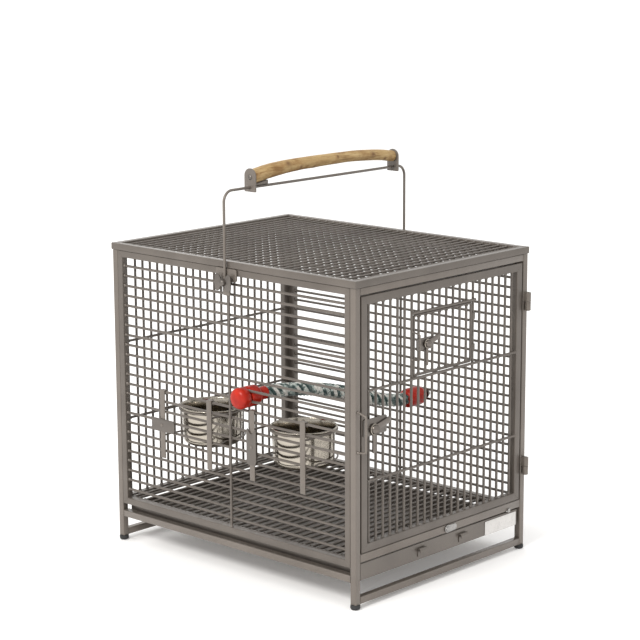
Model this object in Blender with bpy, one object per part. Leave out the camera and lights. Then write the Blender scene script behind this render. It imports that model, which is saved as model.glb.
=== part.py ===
"""Travel cage for a pet parrot.

Welded square-tube body on four rubber feet, hinged front door with a small feeding door in
it, slide-out tray, lift-out floor grille, two feed bowls in hook-on holders, a rope perch
and a folding handle that carries a wooden perch.

The pattern is drawn in millimetres for half-inch tube (12.7 mm tube, 19 mm bar pitch). This cage
is the three-eighths-inch member of the family: SIZE brings the whole drawing to 9.5 mm tube and
14.3 mm pitch, and MM turns drawn millimetres into metres. The body is drawn about its own
centre; SHIFT_Y moves everything so that the whole bounding box is centred on the origin.
"""
import math

import bmesh
import bpy
from mathutils import Vector

SIZE = 0.75             # three-eighths-inch tube from the half-inch drawing
MM = 0.001 * SIZE

# ---- body
HALF_X = 240.0          # outside of the posts
HALF_Y = 308.0
TUBE = 12.7             # square tube
GAP = 0.4               # clearance between neighbouring pieces
WIRE = 2.2              # radius of a cage bar, 3.3 mm wire once at size
PITCH = 19.0            # bar spacing, centre to centre
POST_LOW = 9.3
POST_TOP = 571.0
ROOF_TOP = 584.0
ROOF_OVERHANG = 1.5
PANEL_LOW = 75.2
SHIFT_Y = 9.17          # half of what the door fittings stand out further than the roof

# ---- front
DOOR_HALF = 223.9
DOOR_LOW = 100.2
DOOR_TOP = 553.6
DOOR_TUBE = 15.0
CROSSBAR_LOW = 84.4
CROSSBAR_TOP = 99.4
HATCH_LOW = 388.0       # brace under the small door
HATCH_TOP = 506.0       # brace over the small door
LOW_BRACE = 227.0
HINGE_X = 234.0
HINGE_Y = -314.0
HATCH_AXIS_X = 4.5 * PITCH
BAR_Y = -HALF_Y + TUBE / 2.0

# ---- latches: pivot x, pivot z
LATCH_X = -197.0
LATCH_Z = 320.0
STAPLE_X = -233.65
HATCH_LATCH_X = -50.0
HATCH_LATCH_Z = 447.0

# ---- tray and grille
TRAY_WALL = 222.0
TRAY_FRONT = 222.6
TRAY_LOW = 50.4
TRAY_TOP = 81.0
TRAY_FACE_Y = -304.0
GRILLE_Z = 83.9

# ---- handle and wooden perch
BAIL_X = 246.1
BAIL_WIRE = 2.5
BAIL_AXIS_Z = 546.0
BAIL_TOP = 710.0
BAIL_BEND = 20.0

# ---- bowls
BOWL_X = -168.5
BOWL_Y = 118.0
BOWL_RIM_Z = 288.0
BOWL_RADIUS = 58.0
RING_Z = 282.4
STRAP_Y = 62.5
LEVER_Z = 250.0

# ---- rope perch
ROPE_LEFT = (-35.0, 338.0)      # y, z of the left bolt
ROPE_RIGHT = (-64.0, 265.0)
ROPE_SPAN = (-181.5, 174.5)

PALETTE = {
    "powder": ((0.36, 0.32, 0.29, 1.0), 0.2, 0.45),
    "steel": ((0.72, 0.72, 0.73, 1.0), 1.0, 0.18),
    "zinc": ((0.55, 0.56, 0.58, 1.0), 1.0, 0.35),
    "rubber": ((0.02, 0.02, 0.02, 1.0), 0.0, 0.8),
    "wood": ((0.62, 0.42, 0.22, 1.0), 0.0, 0.7),
    "red": ((0.70, 0.05, 0.04, 1.0), 0.0, 0.3),
    "rope": ((0.30, 0.42, 0.38, 1.0), 0.0, 0.9),
    "label": ((0.85, 0.84, 0.82, 1.0), 0.0, 0.4),
}


def clear_scene():
    for ob in list(bpy.data.objects):
        bpy.data.objects.remove(ob, do_unlink=True)


def make_material(name, look):
    colour, metallic, roughness = PALETTE[look]
    mat = bpy.data.materials.new(name)
    mat.use_nodes = True
    shader = mat.node_tree.nodes["Principled BSDF"]
    shader.inputs["Base Color"].default_value = colour
    shader.inputs["Metallic"].default_value = metallic
    shader.inputs["Roughness"].default_value = roughness
    mat.diffuse_color = colour
    return mat


def make_object(name, bm, look=None, origin=(0.0, 0.0, 0.0)):
    """Turn a bmesh drawn in millimetres into an object whose origin sits at `origin`."""
    bmesh.ops.recalc_face_normals(bm, faces=bm.faces)
    base = Vector(origin)
    for vert in bm.verts:
        vert.co = (vert.co - base) * MM
    mesh = bpy.data.meshes.new(name)
    bm.to_mesh(mesh)
    bm.free()
    ob = bpy.data.objects.new(name, mesh)
    ob.location = Vector((base.x, base.y + SHIFT_Y, base.z)) * MM
    bpy.context.scene.collection.objects.link(ob)
    if look:
        mesh.materials.append(make_material(name + "_finish", look))
    return ob


def merge(target, tool, operation="UNION"):
    """Boolean `tool` into `target`; the tool is used up."""
    bpy.context.view_layer.update()
    mod = target.modifiers.new("merge", "BOOLEAN")
    mod.operation = operation
    mod.solver = "EXACT"
    mod.object = tool
    graph = bpy.context.evaluated_depsgraph_get()
    mesh = bpy.data.meshes.new_from_object(target.evaluated_get(graph))
    target.modifiers.clear()
    keep = target.data.materials[0]
    mesh.materials.clear()
    mesh.materials.append(keep)
    target.data = mesh
    bpy.data.objects.remove(tool, do_unlink=True)
    return target


# ---------------------------------------------------------------- solids, in millimetres
def box(bm, x, y, z):
    corners = [(a, b, c) for a in x for b in y for c in z]
    v = [bm.verts.new(c) for c in corners]
    for f in ((0, 1, 3, 2), (4, 6, 7, 5), (0, 4, 5, 1), (2, 3, 7, 6), (0, 2, 6, 4), (1, 5, 7, 3)):
        bm.faces.new([v[i] for i in f])


def along(axis, a, b, t):
    """Place outline point (a, b) at distance t along the axis."""
    if axis == "X":
        return (t, a, b)
    if axis == "Y":
        return (a, t, b)
    return (a, b, t)


def prism(bm, outline, axis, low, high):
    lower = [bm.verts.new(along(axis, a, b, low)) for a, b in outline]
    upper = [bm.verts.new(along(axis, a, b, high)) for a, b in outline]
    bm.faces.new(lower)
    bm.faces.new(upper)
    n = len(outline)
    for i in range(n):
        j = (i + 1) % n
        bm.faces.new((lower[i], lower[j], upper[j], upper[i]))


def window(bm, axis, a, b, width, low, high):
    """Rectangular ring: outer size a by b, bars `width` wide, thickness low..high."""
    outer = [(a[0], b[0]), (a[1], b[0]), (a[1], b[1]), (a[0], b[1])]
    inner = [(a[0] + width, b[0] + width), (a[1] - width, b[0] + width),
             (a[1] - width, b[1] - width), (a[0] + width, b[1] - width)]
    rings = []
    for outline in (outer, inner):
        for t in (low, high):
            rings.append([bm.verts.new(along(axis, p, q, t)) for p, q in outline])
    for first, second in ((0, 1), (1, 3), (3, 2), (2, 0)):
        for i in range(4):
            j = (i + 1) % 4
            bm.faces.new((rings[first][i], rings[first][j], rings[second][j], rings[second][i]))


def circle(cx, cy, radius, sides, start=0.0):
    step = 2.0 * math.pi / sides
    return [(cx + radius * math.cos(start + i * step), cy + radius * math.sin(start + i * step))
            for i in range(sides)]


def arc(cx, cy, radius, first, last, steps):
    out = []
    for i in range(steps + 1):
        angle = math.radians(first + (last - first) * i / steps)
        out.append((cx + radius * math.cos(angle), cy + radius * math.sin(angle)))
    return out


def rounded(a, b, radius, steps=2):
    """Rectangle a by b with round corners."""
    out = []
    out += arc(a[1] - radius, b[0] + radius, radius, -90.0, 0.0, steps)
    out += arc(a[1] - radius, b[1] - radius, radius, 0.0, 90.0, steps)
    out += arc(a[0] + radius, b[1] - radius, radius, 90.0, 180.0, steps)
    out += arc(a[0] + radius, b[0] + radius, radius, 180.0, 270.0, steps)
    return out


def lathe(bm, profile, axis, centre, sides=16):
    """Spin (radius, position) pairs about the axis; both ends lie on the axis."""
    rings = []
    for radius, t in profile:
        if radius < 1e-6:
            rings.append([bm.verts.new(along(axis, centre[0], centre[1], t))])
        else:
            points = circle(centre[0], centre[1], radius, sides)
            rings.append([bm.verts.new(along(axis, a, b, t)) for a, b in points])
    for near, far in zip(rings, rings[1:]):
        for i in range(sides):
            j = (i + 1) % sides
            if len(near) == 1:
                bm.faces.new((near[0], far[i], far[j]))
            elif len(far) == 1:
                bm.faces.new((near[i], near[j], far[0]))
            else:
                bm.faces.new((near[i], near[j], far[j], far[i]))


def sweep(bm, path, radii, sides=8, closed=False, start=0.0):
    """Round bar along a path; radii is one number or one per point."""
    points = [Vector(p) for p in path]
    count = len(points)
    if not isinstance(radii, (list, tuple)):
        radii = [radii] * count
    tangents = []
    for i in range(count):
        before = points[i - 1] if (closed or i > 0) else points[i]
        after = points[(i + 1) % count] if (closed or i < count - 1) else points[i]
        one = (points[i] - before).normalized()
        two = (after - points[i]).normalized()
        tangents.append((one + two).normalized())
    normal = tangents[0].orthogonal().normalized()
    rings = []
    for i in range(count):
        tangent = tangents[i]
        normal = (normal - tangent * normal.dot(tangent)).normalized()
        side = tangent.cross(normal)
        ring = []
        for k in range(sides):
            angle = start + 2.0 * math.pi * k / sides
            offset = normal * math.cos(angle) + side * math.sin(angle)
            ring.append(bm.verts.new(points[i] + offset * radii[i]))
        rings.append(ring)
    pairs = list(zip(rings, rings[1:]))
    if closed:
        pairs.append((rings[-1], rings[0]))
    for near, far in pairs:
        for k in range(sides):
            m = (k + 1) % sides
            bm.faces.new((near[k], near[m], far[m], far[k]))
    if not closed:
        bm.faces.new(rings[0])
        bm.faces.new(rings[-1])


def corner_path(points, radius, steps=3):
    """Polyline whose inner corners are rounded."""
    pts = [Vector(p) for p in points]
    out = [pts[0]]
    for before, here, after in zip(pts, pts[1:], pts[2:]):
        one = (before - here).normalized()
        two = (after - here).normalized()
        half = one.angle(two) / 2.0
        reach = radius / math.tan(half)
        start = here + one * reach
        end = here + two * reach
        centre = here + (one + two).normalized() * (radius / math.sin(half))
        for i in range(steps + 1):
            mix = i / steps
            direction = ((start - centre) * (1.0 - mix) + (end - centre) * mix).normalized()
            out.append(centre + direction * radius)
    out.append(pts[-1])
    return out


def spaced(count, pitch):
    """Positions of `count` bars centred on zero."""
    return [(i - (count - 1) / 2.0) * pitch for i in range(count)]


def simple(name, draw, look, origin=(0.0, 0.0, 0.0)):
    """Object made of one solid; draw fills a bmesh."""
    bm = bmesh.new()
    draw(bm)
    return make_object(name, bm, look, origin)


def united(name, draws, look, origin=(0.0, 0.0, 0.0)):
    """Object whose solids overlap and are welded into one."""
    target = simple(name, draws[0], look, origin)
    for draw in draws[1:]:
        merge(target, simple("tool", draw, None, origin))
    return target


# ---------------------------------------------------------------- fixed body
def build_posts():
    names = {(-1, -1): "front_left", (1, -1): "front_right",
             (-1, 1): "rear_left", (1, 1): "rear_right"}
    for (sx, sy), tag in names.items():
        cx = sx * (HALF_X - TUBE / 2.0)
        cy = sy * (HALF_Y - TUBE / 2.0)
        half = TUBE / 2.0
        outline = rounded((cx - half, cx + half), (cy - half, cy + half), 1.8)
        simple("post_" + tag, lambda bm: prism(bm, outline, "Z", POST_LOW, POST_TOP), "powder")
        foot = [(0.0, 0.0), (6.2, 0.0), (8.2, 1.3), (9.0, 3.6), (9.0, 9.0), (0.0, 9.0)]
        simple("foot_" + tag, lambda bm: lathe(bm, foot, "Z", (cx, cy), 16), "rubber")


def bar_along_y(bm, x, z, half, radius=WIRE):
    sweep(bm, [(x, -half, z), (x, half, z)], radius, 6)


def bar_along_x(bm, y, z, low, high, radius=WIRE):
    sweep(bm, [(low, y, z), (high, y, z)], radius, 6)


def bar_along_z(bm, x, y, low, high, radius=WIRE):
    sweep(bm, [(x, y, low), (x, y, high)], radius, 6)


def build_side_panel(tag, side):
    inner = HALF_X - TUBE
    middle = HALF_X - TUBE / 2.0
    half_y = HALF_Y - TUBE - GAP
    x = sorted((side * inner, side * HALF_X))
    centre_z = (PANEL_LOW + POST_TOP) / 2.0

    def frame(bm):
        window(bm, "X", (-half_y, half_y), (PANEL_LOW, POST_TOP), TUBE, x[0], x[1])

    def bars(bm):
        for offset in spaced(24, PITCH):
            bar_along_y(bm, side * middle, centre_z + offset, half_y - TUBE + 1.6)

    def brace(bm):
        bar_along_z(bm, side * (middle + 3.4), 0.0, PANEL_LOW + TUBE - 1.4, POST_TOP - TUBE + 1.4)

    united("panel_" + tag, [frame, bars, brace], "powder")


def build_rear_panel():
    half_x = HALF_X - TUBE - GAP
    middle = HALF_Y - TUBE / 2.0

    def frame(bm):
        window(bm, "Y", (-half_x, half_x), (PANEL_LOW, POST_TOP), TUBE, HALF_Y - TUBE, HALF_Y)

    def bars(bm):
        for x in spaced(21, PITCH):
            bar_along_z(bm, x, middle, PANEL_LOW + TUBE - 1.4, POST_TOP - TUBE + 1.4)

    def braces(bm):
        for z in (240.0, 391.0):
            bar_along_x(bm, middle - 3.4, z, -half_x + TUBE - 1.6, half_x - TUBE + 1.6)

    united("panel_rear", [frame, bars, braces], "powder")


def build_rails():
    span = HALF_X - TUBE - GAP
    deep = HALF_Y - TUBE
    side_span = HALF_Y - TUBE - GAP
    front = (-HALF_Y, -deep)
    rear = (deep, HALF_Y)
    rows = (("rail_front_top", front, (POST_TOP - TUBE, POST_TOP)),
            ("crossbar", front, (CROSSBAR_LOW, CROSSBAR_TOP)),
            ("base_rail_front", front, (POST_LOW, POST_LOW + TUBE)),
            ("base_rail_rear", rear, (POST_LOW, POST_LOW + TUBE)))
    for name, y, z in rows:
        outline = rounded(y, z, 1.6)
        simple(name, lambda bm: prism(bm, outline, "X", -span, span), "powder")
    for tag, side in (("left", -1), ("right", 1)):
        x = sorted((side * (HALF_X - TUBE), side * HALF_X))
        outline = rounded(x, (48.5, 61.2), 1.6)
        simple("base_rail_" + tag, lambda bm: prism(bm, outline, "Y", -side_span, side_span),
               "powder")


def build_roof():
    half_x = HALF_X + ROOF_OVERHANG
    half_y = HALF_Y + ROOF_OVERHANG
    low = POST_TOP + GAP
    bar_z = 576.4

    def frame(bm):
        window(bm, "Z", (-half_x, half_x), (-half_y, half_y), TUBE, low, ROOF_TOP)

    def bars(bm):
        for x in spaced(23, PITCH):
            bar_along_y(bm, x, bar_z, half_y - TUBE + 1.5)

    united("roof_frame", [frame, bars], "powder")

    def strips(bm):
        for side in (-1, 1):
            box(bm, sorted((side * 225.2, side * 228.4)), (-291.0, 291.0), (579.8, 582.8))

    def wires(bm):
        for y in spaced(31, PITCH):
            bar_along_x(bm, y, bar_z + 4.9, -226.4, 226.4)

    united("roof_cross_wires", [strips, wires], "powder")


def angle_strip(name, side, tall, flat, look="powder"):
    """L-shaped strip along a side: upright leg by the rail, flat leg towards the middle."""
    outline = [(227.0, tall[0]), (227.0, tall[1]), (225.5, tall[1]), (225.5, flat[2]),
               (flat[0], flat[2]), (flat[0], flat[1]), (225.5, flat[1]), (225.5, tall[0])]
    if abs(flat[1] - tall[0]) < 1e-6:
        outline = [(227.0, tall[0]), (227.0, tall[1]), (225.5, tall[1]), (225.5, flat[2]),
                   (flat[0], flat[2]), (flat[0], flat[1])]
    if abs(flat[2] - tall[1]) < 1e-6:
        outline = [(227.0, tall[0]), (227.0, tall[1]), (flat[0], tall[1]), (flat[0], flat[1]),
                   (225.5, flat[1]), (225.5, tall[0])]
    turned = [(side * x, z) for x, z in outline]
    half = HALF_Y - TUBE - 2.0 * GAP
    simple(name, lambda bm: prism(bm, turned, "Y", -half, half), look)


def build_ledges():
    for tag, side in (("left", -1), ("right", 1)):
        angle_strip("tray_runner_" + tag, side, (48.5, 61.2), (206.0, 48.5, 50.0))
        angle_strip("grille_ledge_" + tag, side, (73.0, 81.0), (212.0, 79.5, 81.0))


# ---------------------------------------------------------------- floor grille and tray
def build_grille():
    def frame(bm):
        window(bm, "Z", (-224.6, 224.6), (-292.0, 292.0), 6.0, 81.4, 86.4)

    def bars(bm):
        for y in spaced(30, PITCH):
            bar_along_x(bm, y, GRILLE_Z, -219.6, 219.6)

    def spine(bm):
        box(bm, (-3.0, 3.0), (-287.5, 287.5), (79.8, 83.3))

    united("floor_grille", [frame, bars, spine], "powder")


def build_tray():
    sheet = 1.5
    back = 291.0
    face = TRAY_FACE_Y

    def front(bm):
        box(bm, (-TRAY_FRONT, TRAY_FRONT), (face, face + sheet), (TRAY_LOW - 1.4, TRAY_TOP))

    def floor(bm):
        box(bm, (-TRAY_WALL, TRAY_WALL), (face + 0.4, back), (TRAY_LOW, TRAY_LOW + sheet))

    def walls(bm):
        for side in (-1, 1):
            x = sorted((side * (TRAY_WALL - sheet), side * (TRAY_WALL - 0.1)))
            box(bm, x, (face + 0.9, back - 0.4), (TRAY_LOW + 0.6, 70.8))

    def rear(bm):
        box(bm, (-TRAY_WALL + 0.6, TRAY_WALL - 0.6), (back - sheet, back - 0.2),
            (TRAY_LOW + 0.4, 70.2))

    def hem(bm):
        prism(bm, circle(face + 1.9, TRAY_TOP - 1.6, 1.6, 8), "X", -TRAY_FRONT + 0.5,
              TRAY_FRONT - 0.5)

    def pulls(bm):
        tab = [(face + 0.6, 57.0), (face + 0.6, 72.6), (-308.2, 72.6), (-311.6, 69.6),
               (-311.6, 64.6), (-310.2, 64.6), (-310.2, 69.0), (-307.6, 71.2), (-305.4, 71.2),
               (-305.4, 57.0)]
        for x in (-58.5, 58.5):
            prism(bm, tab, "X", x - 10.5, x + 10.5)

    united("tray", [front, floor, walls, rear, hem, pulls], "powder", (0.0, face, 50.0))

    plate = rounded((125.5, 219.0), (50.2, 77.0), 1.5)
    simple("tray_label", lambda bm: prism(bm, plate, "Y", -304.9, -304.3), "label")


def build_turn_button():
    pivot = (9.0, 91.9)

    def plate(bm):
        outline = arc(pivot[0], pivot[1], 7.0, 90.0, 270.0, 6)
        outline += arc(pivot[0] + 20.0, pivot[1], 6.0, -90.0, 90.0, 6)
        prism(bm, outline, "Y", -310.3, -308.6)

    button = simple("tray_turn_button", plate, "steel", (pivot[0], -309.5, pivot[1]))
    merge(button, simple("tool", lambda bm: prism(bm, circle(*pivot, 2.9, 12), "Y", -312.0, -307.0),
                         None), "DIFFERENCE")
    profile = [(0.0, -307.0), (2.5, -307.0), (2.5, -310.7), (4.8, -310.7), (4.2, -312.0),
               (2.2, -312.8), (0.0, -313.0)]
    merge(bpy.data.objects["crossbar"],
          simple("tool", lambda bm: lathe(bm, profile, "Y", pivot, 14), None))
    clip = rounded((188.5, 195.5), (81.9, 89.4), 1.2)
    simple("tray_clip", lambda bm: prism(bm, clip, "Y", -309.9, -308.3), "steel")


# ---------------------------------------------------------------- main door
def build_door():
    low = DOOR_LOW + DOOR_TUBE - 1.4
    high = DOOR_TOP - DOOR_TUBE + 1.4
    axis = (HINGE_X, HINGE_Y, (DOOR_LOW + DOOR_TOP) / 2.0)

    def frame(bm):
        window(bm, "Y", (-DOOR_HALF, DOOR_HALF), (DOOR_LOW, DOOR_TOP), DOOR_TUBE,
               -HALF_Y, -HALF_Y + TUBE)

    def bars(bm):
        for x in spaced(22, PITCH):
            if abs(x) < HATCH_AXIS_X - 1.0:
                bar_along_z(bm, x, BAR_Y, low, HATCH_LOW + 1.3)
                bar_along_z(bm, x, BAR_Y, HATCH_TOP - 1.3, high)
            else:
                bar_along_z(bm, x, BAR_Y, low, high)

    def braces(bm):
        reach = DOOR_HALF - DOOR_TUBE + 1.4
        bar_along_x(bm, BAR_Y - 3.4, LOW_BRACE, -reach, reach)
        bar_along_x(bm, BAR_Y - 3.4, HATCH_LOW, -reach, reach)
        bar_along_x(bm, BAR_Y - 3.4, HATCH_TOP, -HATCH_AXIS_X - 3.0, HATCH_AXIS_X + 3.0)

    united("door_panel", [frame, bars, braces], "powder", axis)


def build_hinge(tag, door_z, post_z, arm_z):
    axis = (HINGE_X, HINGE_Y, (door_z[0] + door_z[1]) / 2.0)

    def barrel(bm):
        prism(bm, circle(HINGE_X, HINGE_Y, 5.6, 16), "Z", door_z[0], door_z[1])

    def arm(bm):
        box(bm, (212.5, 230.8), (-311.7, -308.3), arm_z)

    knuckle = united("door_knuckle_" + tag, [barrel, arm], "powder", axis)
    merge(knuckle, simple("tool", lambda bm: prism(bm, circle(HINGE_X, HINGE_Y, 2.4, 12), "Z",
                                                   door_z[0] - 2.0, door_z[1] + 2.0), None),
          "DIFFERENCE")
    outline = [(HINGE_X + 5.8, -308.3)] + arc(HINGE_X, HINGE_Y, 5.8, 0.0, -180.0, 8)
    outline += [(HINGE_X - 5.8, -308.3)]
    ends = (min(door_z[0], post_z[0]), max(door_z[1], post_z[1]))
    united("post_knuckle_" + tag, [
        lambda bm: prism(bm, outline, "Z", *post_z),
        lambda bm: prism(bm, circle(HINGE_X, HINGE_Y, 2.0, 12), "Z", ends[0] - 0.8, ends[1] + 0.8)],
        "powder")


def staple(name, x, root_y, bar_y, low, high, radius, bend, look):
    points = [(x, root_y, high[0]), (x, bar_y, high[1]), (x, bar_y, low[1]), (x, root_y, low[0])]
    path = corner_path(points, bend)
    simple(name, lambda bm: sweep(bm, path, radius, 8), look)


def lever(name, pivot, y, hub, hole, handle, nose, width, knob, look):
    """Bell-crank latch lever: handle to the right, nose hanging down, domed knob on the pivot.

    knob is (radius, far end); a blind hole in it takes the end of the stud.
    """
    px, pz = pivot

    def arm(direction, length, half):
        dx = math.cos(direction)
        dz = math.sin(direction)
        out = [(px - dz * half, pz + dx * half)]
        tip = (px + dx * (length - half), pz + dz * (length - half))
        first = math.degrees(direction) + 90.0
        out += list(arc(tip[0], tip[1], half, first, first - 180.0, 5))
        out.append((px + dz * half, pz - dx * half))
        return out

    def hub_disc(bm):
        prism(bm, circle(px, pz, hub, 18), "Y", y[0], y[1])

    def handle_arm(bm):
        prism(bm, arm(handle[0], handle[1], width), "Y", y[0] + 0.1, y[1] - 0.1)

    def nose_arm(bm):
        prism(bm, arm(nose[0], nose[1], width * 0.62), "Y", y[0] + 0.15, y[1] - 0.15)

    def dome(bm):
        near = y[0] + 0.8
        radius, far = knob
        profile = [(0.0, near), (radius, near), (radius, near - (near - far) * 0.55),
                   (radius * 0.82, far + 1.0), (radius * 0.45, far), (0.0, far)]
        lathe(bm, profile, "Y", pivot, 18)

    origin = (px, (y[0] + y[1]) / 2.0, pz)
    body = united(name, [hub_disc, handle_arm, nose_arm, dome], look, origin)
    bore = circle(px, pz, hole, 12)
    merge(body, simple("tool", lambda bm: prism(bm, bore, "Y", knob[1] + 2.6, y[1] + 2.0), None),
          "DIFFERENCE")
    return body


def backplate(name, x, z, y, pivot, stud, tip_y, origin=(0.0, 0.0, 0.0)):
    """Latch plate with the pivot stud standing out of it."""
    outline = rounded(x, z, 3.0)
    united(name, [lambda bm: prism(bm, outline, "Y", y[0], y[1]),
                  lambda bm: prism(bm, circle(*pivot, stud, 12), "Y", tip_y, y[1] - 0.5)],
           "zinc", origin)


def build_door_latch():
    pivot = (LATCH_X, LATCH_Z)
    staple("latch_staple", STAPLE_X, -308.8, -327.0, (284.0, 286.6), (355.6, 350.6), 2.0, 4.0,
           "powder")
    backplate("latch_plate", (-221.5, -161.0), (309.0, 339.5), (-310.3, -308.3), pivot, 3.0, -319.6)
    lever("latch_lever", pivot, (-313.6, -310.7), 9.5, 3.4, (math.radians(14.0), 46.0),
          (math.radians(-90.0), 43.0), 7.5, (9.0, -323.5), "steel")


def build_small_door():
    axis = (HATCH_AXIS_X, BAR_Y, (HATCH_LOW + HATCH_TOP) / 2.0)
    left = -79.8
    right = 79.8
    low = 393.0
    high = 500.5

    def frame(bm):
        corners = [(left, BAR_Y, low), (right, BAR_Y, low), (right, BAR_Y, high), (left, BAR_Y, high)]
        closed = corner_path([corners[-1]] + corners + [corners[0]], 4.0)[1:-1]
        sweep(bm, closed, 2.5, 8, True)

    def bars(bm):
        for x in spaced(8, PITCH):
            bar_along_z(bm, x, BAR_Y, low, high)

    def clips(bm):
        for z in (412.0, 470.0):
            prism(bm, circle(HATCH_AXIS_X, BAR_Y, 4.4, 12), "Z", z, z + 12.0)
            box(bm, (80.3, 82.5), (BAR_Y - 1.2, BAR_Y + 1.2), (z + 0.5, z + 11.5))

    door = simple("small_door", frame, "powder", axis)
    merge(door, simple("tool", bars, None, axis))
    rings = simple("tool", lambda bm: prism(bm, circle(HATCH_AXIS_X, BAR_Y, 4.4, 12), "Z",
                                            412.0, 424.0), None, axis)
    merge(door, simple("tool", lambda bm: box(bm, (79.9, 82.5), (BAR_Y - 1.2, BAR_Y + 1.2),
                                              (412.6, 423.4)), None, axis))
    merge(door, simple("tool", lambda bm: box(bm, (79.9, 82.5), (BAR_Y - 1.2, BAR_Y + 1.2),
                                              (470.6, 481.4)), None, axis))
    merge(door, rings)
    merge(door, simple("tool", lambda bm: prism(bm, circle(HATCH_AXIS_X, BAR_Y, 4.4, 12), "Z",
                                                470.0, 482.0), None, axis))
    merge(door, simple("tool", lambda bm: prism(bm, circle(HATCH_AXIS_X, BAR_Y, 2.75, 12), "Z",
                                                405.0, 490.0), None, axis), "DIFFERENCE")

    pivot = (HATCH_LATCH_X, HATCH_LATCH_Z)
    staple("small_staple", -HATCH_AXIS_X, BAR_Y - 2.9, -321.0, (422.0, 424.0), (472.0, 470.0),
           1.5, 3.0, "powder")
    backplate("small_latch_plate", (-76.0, -30.0), (436.0, 458.0), (-305.9, -304.3), pivot, 2.4,
              -313.2)
    lever("small_latch_lever", pivot, (-308.6, -306.3), 7.5, 2.8, (math.radians(14.0), 36.0),
          (math.radians(-90.0), 40.0), 6.0, (7.0, -317.0), "steel")


# ---------------------------------------------------------------- handle
def build_bail():
    axis = (0.0, 0.0, BAIL_AXIS_Z)
    path = corner_path([(-BAIL_X, 0.0, BAIL_AXIS_Z + 5.5), (-BAIL_X, 0.0, BAIL_TOP),
                        (BAIL_X, 0.0, BAIL_TOP), (BAIL_X, 0.0, BAIL_AXIS_Z + 5.5)], BAIL_BEND, 5)
    wire = simple("bail_wire", lambda bm: sweep(bm, path, BAIL_WIRE, 10), "powder", axis)
    for side in (-1, 1):
        x = sorted((side * (BAIL_X - BAIL_WIRE), side * (BAIL_X + BAIL_WIRE)))
        merge(wire, simple("tool", lambda bm: prism(bm, circle(0.0, BAIL_AXIS_Z, 8.5, 18), "X",
                                                    x[0], x[1]), None, axis))
        merge(wire, simple("tool", lambda bm: prism(bm, circle(0.0, BAIL_AXIS_Z, 3.4, 12), "X",
                                                    x[0] - 3.0, x[1] + 3.0), None, axis),
              "DIFFERENCE")


def build_bail_mount(tag, side):
    plate = [(-26.0, 549.0), (-9.0, 545.0)] + arc(0.0, 530.5, 9.0, 180.0, 360.0, 6)
    plate += [(9.0, 545.0), (26.0, 549.0), (26.0, 568.5), (23.5, 571.0), (-23.5, 571.0),
              (-26.0, 568.5)]
    x = sorted((side * (HALF_X + GAP), side * (HALF_X + 3.3)))
    stud = sorted((side * (HALF_X + 2.0), side * 256.0))
    united("bail_bracket_" + tag, [
        lambda bm: prism(bm, plate, "X", x[0], x[1]),
        lambda bm: prism(bm, circle(0.0, BAIL_AXIS_Z, 3.0, 12), "X", stud[0], stud[1])], "powder")

    hub = sorted((side * 248.9, side * 258.0))
    wing = sorted((side * 250.2, side * 252.8))

    def wings(bm):
        for sy in (-1, 1):
            outline = [(sy * 4.6, 541.5), (sy * 9.0, 532.0), (sy * 14.5, 529.5), (sy * 19.5, 532.5),
                       (sy * 20.5, 546.0), (sy * 19.5, 559.5), (sy * 14.5, 562.5), (sy * 9.0, 560.0),
                       (sy * 4.6, 550.5)]
            prism(bm, outline, "X", wing[0], wing[1])

    nut = united("bail_nut_" + tag, [
        lambda bm: prism(bm, circle(0.0, BAIL_AXIS_Z, 7.0, 16), "X", hub[0], hub[1]), wings], "zinc")
    hole = sorted((side * 247.0, side * 256.4))
    merge(nut, simple("tool", lambda bm: prism(bm, circle(0.0, BAIL_AXIS_Z, 3.4, 12), "X",
                                               hole[0], hole[1]), None), "DIFFERENCE")


def perch_shape(x):
    """Centre height and radius of the wooden perch at x."""
    rows = ((-178.0, 728.6, 13.4), (-127.0, 735.6, 13.0), (-75.0, 739.6, 12.0),
            (-21.0, 741.0, 11.3), (61.0, 741.6, 10.6), (118.0, 740.4, 10.5),
            (175.0, 736.0, 10.6), (212.0, 730.6, 10.6))
    for a, b in zip(rows, rows[1:]):
        if x <= b[0]:
            mix = (x - a[0]) / (b[0] - a[0])
            return a[1] + (b[1] - a[1]) * mix, a[2] + (b[2] - a[2]) * mix
    return rows[-1][1], rows[-1][2]


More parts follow.
